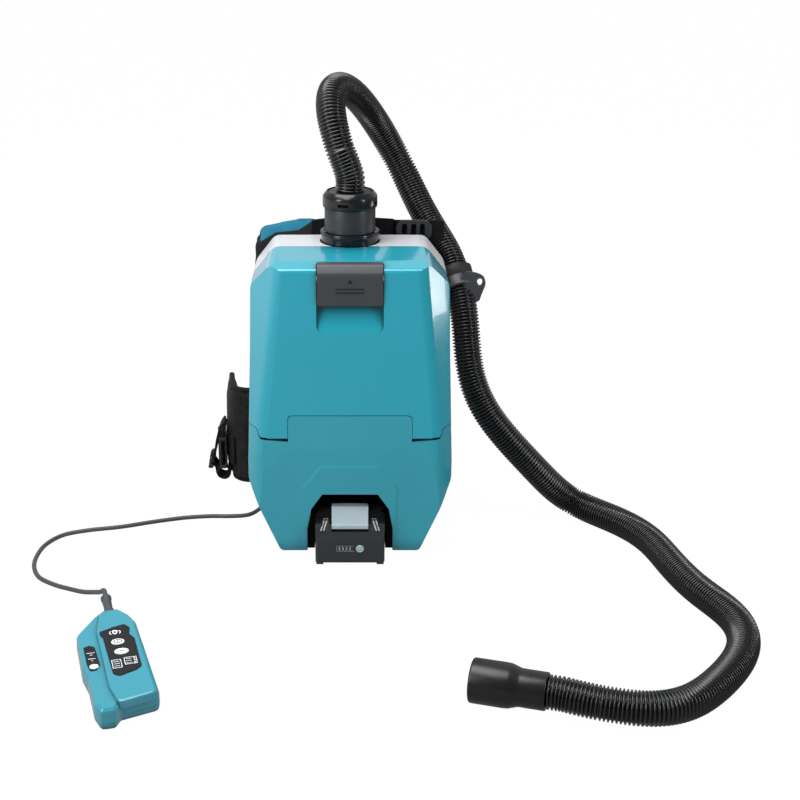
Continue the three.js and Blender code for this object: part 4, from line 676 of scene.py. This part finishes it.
# Plain line signs: a small shield between two arcs, two framed lists and four bars.
plate_top = 28.02
side_plate_top = 25.02
key_top = 28.92
sign_x = 0.6
frame_line = 0.7
white_print = bmesh.new()
for side in (-1, 1):
    arc = ellipse(sign_x, 39.5, 11.4, 8.4, -50, 50, 10)
    arc += ellipse(sign_x, 39.5, 9.4, 6.6, 50, -50, 10)
    print_on_box(white_print, [(sign_x + side * (a - sign_x), b, 0) for a, b, _ in arc],
                 plate_top)
print_on_box(white_print, [(-2.2, 42.6, 0.8), (sign_x, 43.4, 0), (3.4, 42.6, 0.8), (3, 38.4, 1),
                           (sign_x, 36.2, 0.6), (-1.8, 38.4, 1)], plate_top,
             [ellipse(sign_x, 40, 2.6, 2.8)])
for x0, y0, x1, y1 in ((-9, -16, 0.2, -3.2), (3, -12.4, 15, -1.6)):
    print_on_box(white_print, slab(x0, y0, x1, y1), plate_top,
                 [slab(x0 + frame_line, y0 + frame_line, x1 - frame_line, y1 - frame_line)])
for y in (-13.2, -9.8, -6.6):
    print_on_box(white_print, slab(-7.2, y, -1.6, y + 0.7), plate_top)
for y in (-10.6, -7.4, -4.4):
    print_on_box(white_print, slab(4.6, y, 10.2, y + 0.6), plate_top)
    print_on_box(white_print, slab(12, y - 0.4, 13.6, y + 1.1), plate_top)
for y, wide in ((15.8, 7.6), (12.6, 2.4), (6.6, 7), (3.4, 1.6)):
    print_on_box(white_print, slab(-26 - wide / 2, y, -26 + wide / 2, y + 0.8), side_plate_top)
finish(white_print, "box_white_print", print_white, "unit")

power_print = bmesh.new()
print_on_box(power_print, ellipse(1.2, 24, 8.4, 5.8), key_top, [ellipse(1.2, 24, 7, 4.5)])
print_on_box(power_print, slab(0.8, 23.2, 1.6, 25.6), key_top)
finish(power_print, "box_power_symbol", plate_black, "power_key")
mode_print = bmesh.new()
print_on_box(mode_print, slab(-1.8, 8.2, 7, 8.8), key_top)
finish(mode_print, "box_mode_mark", plate_black, "mode_key")

# ---------------------------------------------------------------- inner parts
# Behind the cover: its rubber seal, the bag with its card plate and holder, and the filter deck
# with its pleated cartridge. Below: the motor in its sound drum, the fan and the board.

# Creamy glass-fibre paper without any shine, drawn zinc-plated steel, matt rubber, and the
# lacquered green of a circuit board.
filter_paper = moulded("filter_paper", "e6dfce", "d9d1be", 0.9, 0.0008, 0.00012, patch=0.02)
steel = moulded("zinc_steel", "9a9da1", "8b8f94", 0.32, 0.0008, 0.00001, metallic=1.0)
soft_rubber = moulded("soft_rubber", "17181a", "1d1e20", 0.75, 0.0006, 0.00005)
board_green = moulded("board_green", "1d6b45", "175a39", 0.45, 0.0015, 0.00006, patch=0.004)
for node, name, finish_of, slot in (
        ("cover_seal_left", "seal_left", soft_rubber, "seal_rubber"),
        ("cover_seal_right", "seal_right", soft_rubber, "seal_rubber"),
        ("bag_holder", "bag_mount", black_nylon, "black_plastic"),
        ("bag_plate", "bag_card", filter_paper, "filter_paper"),
        ("filter_deck", "deck", black_nylon, "black_plastic"),
        ("hepa_filter", "pleated_cartridge", filter_paper, "filter_paper"),
        ("pre_filter", "pre_filter_frame", black_nylon, "black_plastic"),
        ("motor_housing", "motor_drum", black_nylon, "black_plastic"),
        ("motor_mount", "motor_ring", soft_rubber, "seal_rubber"),
        ("motor_can", "motor_body", steel, "steel"),
        ("impeller", "fan_wheel", black_nylon, "black_plastic"),
        ("control_board", "circuit_board", board_green, "board")):
    cast(node, name, finish_of, 0.0003)

# ---------------------------------------------------------------- harness
# A moulded nylon frame screwed on the rear shell carries pads of EVA foam under a black spacer
# knit; the outside of the left shoulder pad is a blue polyester. Straps and webbing are woven.
cast("back_frame", "harness_frame", black_nylon, 0.0003)
cast("load_slide", "slot_slide", satin_nylon, 0.0003)


def woven(name, thread, gap, pitch, roughness, depth, cells=False):
    """Cloth: a dark ground between lighter threads, pitch metres apart. cells gives an open knit
    of small holes, otherwise two rib directions cross."""
    made, tree, principled, place = start_material(name, sheen_weight=0.05, sheen_roughness=0.5,
                                                   specular_ior_level=0.2)
    if cells:
        holes = put(tree, "TexVoronoi", {"Vector": place, "Scale": 1 / pitch, "Randomness": 0.3})
        height = put(tree, "MapRange", {"Value": holes.outputs["Distance"],
                                        "From Min": 0.15, "From Max": 0.5})
        lift = height.outputs["Result"]
    else:
        # The bands of a wave texture lie 0.314 / scale apart.
        ways = [put(tree, "TexWave", {"Vector": place, "Scale": 0.314 / pitch,
                                      "Distortion": 0.4, "Detail Scale": 2},
                    bands_direction=axis).outputs["Fac"] for axis in ("X", "Z")]
        lift = put(tree, "Math", {0: ways[0], 1: ways[1]}, operation="MAXIMUM").outputs["Value"]
    cloud = put(tree, "TexNoise", {"Vector": place, "Scale": 60, "Detail": 4})
    tone = put(tree, "Mix", {"Factor": lift, "A": srgb(gap), "B": srgb(thread)}, data_type="RGBA")
    worn = put(tree, "Mix", {"Factor": cloud.outputs["Fac"],
                             "A": tone.outputs["Result"], "B": srgb(gap)},
               data_type="RGBA", blend_type="SOFT_LIGHT")
    bump = put(tree, "Bump", {"Height": lift, "Strength": 0.8, "Distance": depth})
    tree.links.new(worn.outputs["Result"], principled.inputs["Base Color"])
    tree.links.new(bump.outputs["Normal"], principled.inputs["Normal"])
    principled.inputs["Roughness"].default_value = roughness
    return made


# Spacer knit looks like a net of dark holes in a dull black face. The polyester's threads are
# drawn twice as coarse as real ones, so that they show; the tape has its real cross ribs.
spacer_knit = woven("spacer_knit", "26282b", "020202", 0.0032, 0.9, 0.0008, cells=True)
blue_cloth = woven("blue_cloth", "28849a", "1a6a7e", 0.0009, 0.75, 0.0001)
tape = woven("binding_tape", "1b1c1f", "0a0b0c", 0.0012, 0.85, 0.0002)

# The blue cloth is bound in black along its outer edge, and black below a curved seam in front.
tree = blue_cloth.node_tree
place = put(tree, "TexCoord").outputs["Object"]
x, y, z = put(tree, "SeparateXYZ", {"Vector": place}).outputs
upper, middle, lower = [
    put(tree, "Math", {0: x, 1: slope, 2: height}, operation="MULTIPLY_ADD")
    for slope, height in ((0.56, 0.3896), (0.1, 0.35), (0.58, 0.3785))]
bent = put(tree, "Math", {0: middle.outputs["Value"], 1: lower.outputs["Value"]},
           operation="MAXIMUM")
seam = put(tree, "Math", {0: upper.outputs["Value"], 1: bent.outputs["Value"]},
           operation="MINIMUM")
below = put(tree, "Math", {0: z, 1: seam.outputs["Value"]}, operation="LESS_THAN")
ahead = put(tree, "Math", {0: y, 1: 0.018}, operation="LESS_THAN")
edge = put(tree, "Math", {0: x, 1: -0.1035}, operation="LESS_THAN")
black = put(tree, "Math", {0: below.outputs["Value"], 1: ahead.outputs["Value"],
                           2: edge.outputs["Value"]},
            operation="MULTIPLY_ADD", use_clamp=True)
shader = tree.nodes["Principled BSDF"]
cloth_colour = shader.inputs["Base Color"].links[0].from_socket
bound = put(tree, "Mix", {"Factor": black.outputs["Value"], "A": cloth_colour,
                          "B": srgb("161719")}, data_type="RGBA")
tree.links.new(bound.outputs["Result"], shader.inputs["Base Color"])


def stuffed(node, name, finish_of, drawn=0.0012, cap=0.004, voxel=0.005):
    """A stuffed pad: the CAD form drawn in, remeshed, then blown up by a short cloth run, in
    which no point moves further than cap."""
    source = nodes[node]
    bm = bmesh.new()
    bm.from_mesh(source.data)
    bmesh.ops.remove_doubles(bm, verts=bm.verts, dist=2e-5)
    bmesh.ops.recalc_face_normals(bm, faces=bm.faces)
    for v in bm.verts:
        v.normal_update()
    moved = {v: v.co - v.normal * drawn for v in bm.verts}
    for v, co in moved.items():
        v.co = co
    made = finish(bm, name, finish_of, source["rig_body"], [node], sharp=180)
    bpy.context.view_layer.objects.active = made
    remesh = made.modifiers.new("remesh", "REMESH")
    remesh.mode = "VOXEL"
    remesh.voxel_size = voxel
    bpy.ops.object.modifier_apply(modifier="remesh")
    smooth = made.modifiers.new("smooth", "SMOOTH")
    smooth.factor = 0.5
    smooth.iterations = 6
    bpy.ops.object.modifier_apply(modifier="smooth")
    start = np.array([tuple(v.co) for v in made.data.vertices])
    cloth = made.modifiers.new("cloth", "CLOTH")
    cloth.settings.use_pressure = True
    cloth.settings.uniform_pressure_force = 4
    cloth.settings.effector_weights.gravity = 0
    scene = bpy.context.scene
    last_frame = 14
    cloth.point_cache.frame_start = 1
    cloth.point_cache.frame_end = last_frame
    for number in range(1, last_frame + 1):
        scene.frame_set(number)
    bpy.ops.object.modifier_apply(modifier="cloth")
    scene.frame_set(1)
    ended = np.array([tuple(v.co) for v in made.data.vertices])
    step = ended - start
    size = np.linalg.norm(step, axis=1, keepdims=True)
    step *= np.minimum(1, cap / np.maximum(size, 1e-9))
    for v, co in zip(made.data.vertices, start + step):
        v.co = co
    made.data.shade_smooth()
    fine = made.modifiers.new("fine", "SUBSURF")
    fine.levels = fine.render_levels = 1
    return made


stuffed("back_pad", "pad_back", spacer_knit)
stuffed("lumbar_pad", "pad_lumbar", spacer_knit)
stuffed("shoulder_pad_left", "pad_shoulder_left", blue_cloth, cap=0.003)
stuffed("shoulder_pad_right", "pad_shoulder_right", spacer_knit, cap=0.003)
stuffed("strap_yoke", "pad_yoke", tape, drawn=0.0004, cap=0.001, voxel=0.0025)
for node, name in (("carry_handle", "handle_webbing"), ("strap_end", "strap_tail"),
                   ("shoulder_webbing_left", "lower_webbing_left"),
                   ("shoulder_webbing_right", "lower_webbing_right")):
    webbing = cast(node, name, tape, 0.0005)
    if node == "strap_end":
        # The tail starts inside the slide.
        for v in webbing.data.vertices:
            if v.co.x < 0.0535:
                v.co.x -= 0.003

# ---------------------------------------------------------------- hip belt
# Two padded wings, bound in woven tape and sewn to the frame at their roots, carry webbing with
# a side-release buckle. The loose end of the left webbing hangs in a loop over a slider.
stuffed("hip_wing_left", "pad_hip_left", spacer_knit, cap=0.003)
stuffed("hip_wing_right", "pad_hip_right", spacer_knit, cap=0.003)
for hand in ("left", "right"):
    cast(f"hip_webbing_{hand}", f"belt_webbing_{hand}", tape, 0.0005)
    cast(f"hip_buckle_{hand}", f"belt_buckle_{hand}", black_nylon, 0.0003)

# A wing from above: a straight lead from its root, a bend round the wearer, and a straight tail.
wing_root = (-106, 77)
wing_lead = 12
wing_bend_radius = 24
wing_bend = math.radians(84)
wing_tail = 52
wing_foot = 30
wing_height = 121
wing_full = 0.45  # share of the length that keeps the full height
wing_taper = 0.42
wing_droop = 4
wing_hem = 2.5
wing_stored = math.radians(70)
binding_radius = 0.0034


def wing_edge(hand):
    """The sewn edge of a hip wing: along its top, round its outer end and back below, where it
    climbs towards the end. The right wing is mirrored and folded in behind the unit."""
    arc = wing_bend_radius * wing_bend
    total = wing_lead + arc + wing_tail
    stations = 19
    rows = []
    for k in range(2, stations + 1):
        along = total * k / stations
        turned = min(max((along - wing_lead) / wing_bend_radius, 0), wing_bend)
        end = max(0, along - wing_lead - arc)
        x = (wing_root[0] - min(along, wing_lead) - wing_bend_radius * math.sin(turned)
             - end * math.cos(turned))
        y = wing_root[1] + wing_bend_radius * (1 - math.cos(turned)) + end * math.sin(turned)
        drawn = wing_height * wing_taper * max(0, along / total - wing_full) ** 1.2
        middle = wing_foot + (wing_height + drawn) / 2 - wing_droop * along / total
        rows.append((x, y, middle, (wing_height - drawn) / 2 - wing_hem))
    x, y, middle, half = rows[-1]
    points = [(a, b, m + h) for a, b, m, h in rows[:-1]]
    points += [(x, y - 1, middle + half * share) for share in (0.92, 0.6, 0.2, -0.2, -0.6, -0.92)]
    points += [(a, b, m - h) for a, b, m, h in rows[-2::-1]]
    points = row(points)
    if hand == "right":
        hinge = row([[-wing_root[0], wing_root[1], 0]])[0]
        fold = Matrix.Rotation(wing_stored, 3, "Z")
        points = [hinge + fold @ (Vector((-p.x, p.y, p.z)) - hinge) for p in points]
    return points


for hand in ("left", "right"):
    length, line = route(wing_edge(hand), 0.002)
    finish(bent_rod(line, length, binding_radius, 160, 12), f"wing_binding_{hand}", tape,
           f"wing_{hand}", sharp=180)

webbing_thick = 3


def flat_loop(points, ends):
    """A strip of webbing, in mm: points give its path in x and z, and ends its edges in y."""
    _, line = route([Vector((a, 0, b)) for a, b in points], 2)
    outer_face = []
    inner_face = []
    for before, at, after in zip([line[0], *line], line, [*line[1:], line[-1]]):
        way = (after - before).normalized() * (webbing_thick / 2)
        outer_face.append((at.x - way.z, at.z + way.x, 0))
        inner_face.append((at.x + way.z, at.z - way.x, 0))
    bm = bmesh.new()
    plate(bm, outer_face + inner_face[::-1], lambda a, b: Vector((a, ends[0], b)) / 1000,
          Vector((0, (ends[1] - ends[0]) / 1000, 0)))
    return bm


for name, points, ends in (
        ("belt_loop_outer", [(-153, 104), (-157, 98), (-161.5, 84), (-164, 70), (-167, 58),
                             (-167.5, 50)], (6, 32)),
        ("belt_loop_back", [(-152, 100), (-156, 88), (-158, 74), (-157, 60), (-158, 50),
                            (-162, 42)], (4, 34)),
        ("belt_loop_under", [(-168, 52), (-164, 46), (-163, 39), (-160, 33.5), (-153, 31.5),
                             (-148, 36), (-149, 46)], (8, 30)),
        ("belt_loop_tail", [(-170, 60), (-171.5, 50), (-172.5, 44)], (10, 28))):
    finish(flat_loop(points, ends), name, tape, "wing_left", sharp=50)
slider_bar = 0.0026
slider = bmesh.new()
for height in (0.057, 0.0495):
    bmesh.ops.create_cone(slider, cap_ends=True, segments=20, radius1=slider_bar,
                          radius2=slider_bar, depth=0.034,
                          matrix=Matrix.Translation((-0.1692, 0.019, height)) @ lying)
finish(slider, "belt_slider", black_nylon, "wing_left", sharp=50)

# ---------------------------------------------------------------- floor and light
# A white sweep: the camera sees it and the sky as pure white with a soft contact shadow, and
# glossy faces see it as a bright card.
floor_bm = bmesh.new()
bmesh.ops.create_grid(floor_bm, x_segments=1, y_segments=1, size=60)
floor_mesh = bpy.data.meshes.new("sweep")
floor_bm.to_mesh(floor_mesh)
floor_bm.free()
floor = bpy.data.objects.new("sweep", floor_mesh)
bpy.context.scene.collection.objects.link(floor)
floor.location.z = -0.0002
# Matt paper. The camera gets 95% of an even white and 5% of the paper, which holds the shadow.
sweep, tree, principled, place = start_material("sweep_paper", roughness=1.0,
                                                base_color=(0.4, 0.4, 0.4, 1))
glow = put(tree, "Emission", {"Color": (1, 1, 1, 1), "Strength": 1.04})
path = put(tree, "LightPath")
seen = put(tree, "Math", {0: path.outputs["Is Camera Ray"], 1: 0.95}, operation="MULTIPLY")
across = put(tree, "SeparateXYZ", {"Vector": place}).outputs["X"]
sheen = put(tree, "MapRange", {"Value": across, "From Min": -1.6, "From Max": 0.6,
                               "To Min": 0.95, "To Max": 0.14})
card = put(tree, "Emission", {"Strength": sheen.outputs["Result"]})
lit = put(tree, "MixShader", {0: path.outputs["Is Glossy Ray"], 1: principled.outputs["BSDF"],
                              2: card.outputs["Emission"]})
both = put(tree, "MixShader", {0: seen.outputs["Value"], 1: lit.outputs["Shader"],
                               2: glow.outputs["Emission"]})
tree.links.new(both.outputs["Shader"], tree.nodes["Material Output"].inputs["Surface"])
floor_mesh.materials.append(sweep)

# The studio round it is white to the camera, dim to matt faces, and brighter behind the unit
# than in front of it to glossy ones.
world = bpy.data.worlds.new("studio")
bpy.context.scene.world = world
world.use_nodes = True
tree = world.node_tree
path = put(tree, "LightPath")
plain = tree.nodes["Background"]
plain.inputs["Color"].default_value = (1, 1, 1, 1)
away = put(tree, "TexCoord").outputs["Generated"]
depthwise = put(tree, "SeparateXYZ", {"Vector": away}).outputs["Y"]
behind = put(tree, "MapRange", {"Value": depthwise, "From Min": -0.4, "From Max": 0.7,
                                "To Min": 0.1, "To Max": 0.6})
dim = put(tree, "Mix", {0: path.outputs["Is Glossy Ray"], 2: 0.42, 3: behind.outputs["Result"]})
tree.links.new(dim.outputs[0], plain.inputs["Strength"])
white = put(tree, "Background", {"Color": (1, 1, 1, 1), "Strength": 1.0})
both = put(tree, "MixShader", {0: path.outputs["Is Camera Ray"], 1: plain.outputs["Background"],
                               2: white.outputs["Background"]})
tree.links.new(both.outputs["Shader"], tree.nodes["World Output"].inputs["Surface"])


def softbox(name, place, target, size, power):
    """A rectangular lamp that points at target and that the camera doesn't see."""
    data = bpy.data.lights.new(name, "AREA")
    data.shape = "RECTANGLE"
    data.size = size[0]
    data.size_y = size[1]
    data.energy = power
    lamp = bpy.data.objects.new(name, data)
    bpy.context.scene.collection.objects.link(lamp)
    lamp.location = place
    lamp.rotation_euler = (Vector(target) - Vector(place)).to_track_quat("-Z", "Y").to_euler()
    lamp.visible_camera = False


softbox("overhead", (-0.4, -0.35, 1.8), (0, 0, 0.1), (1.5, 1.1), 31)
softbox("left_front", (-1.5, -1.3, 1.1), (0, 0, 0.2), (0.7, 1.2), 20)
softbox("right_front", (1.6, -1.0, 0.9), (0, 0, 0.2), (0.12, 1.1), 9)
softbox("right_card", (1.42, 0.37, 0.03), (0.1, -0.12, 0.3), (0.3, 0.16), 1.1)
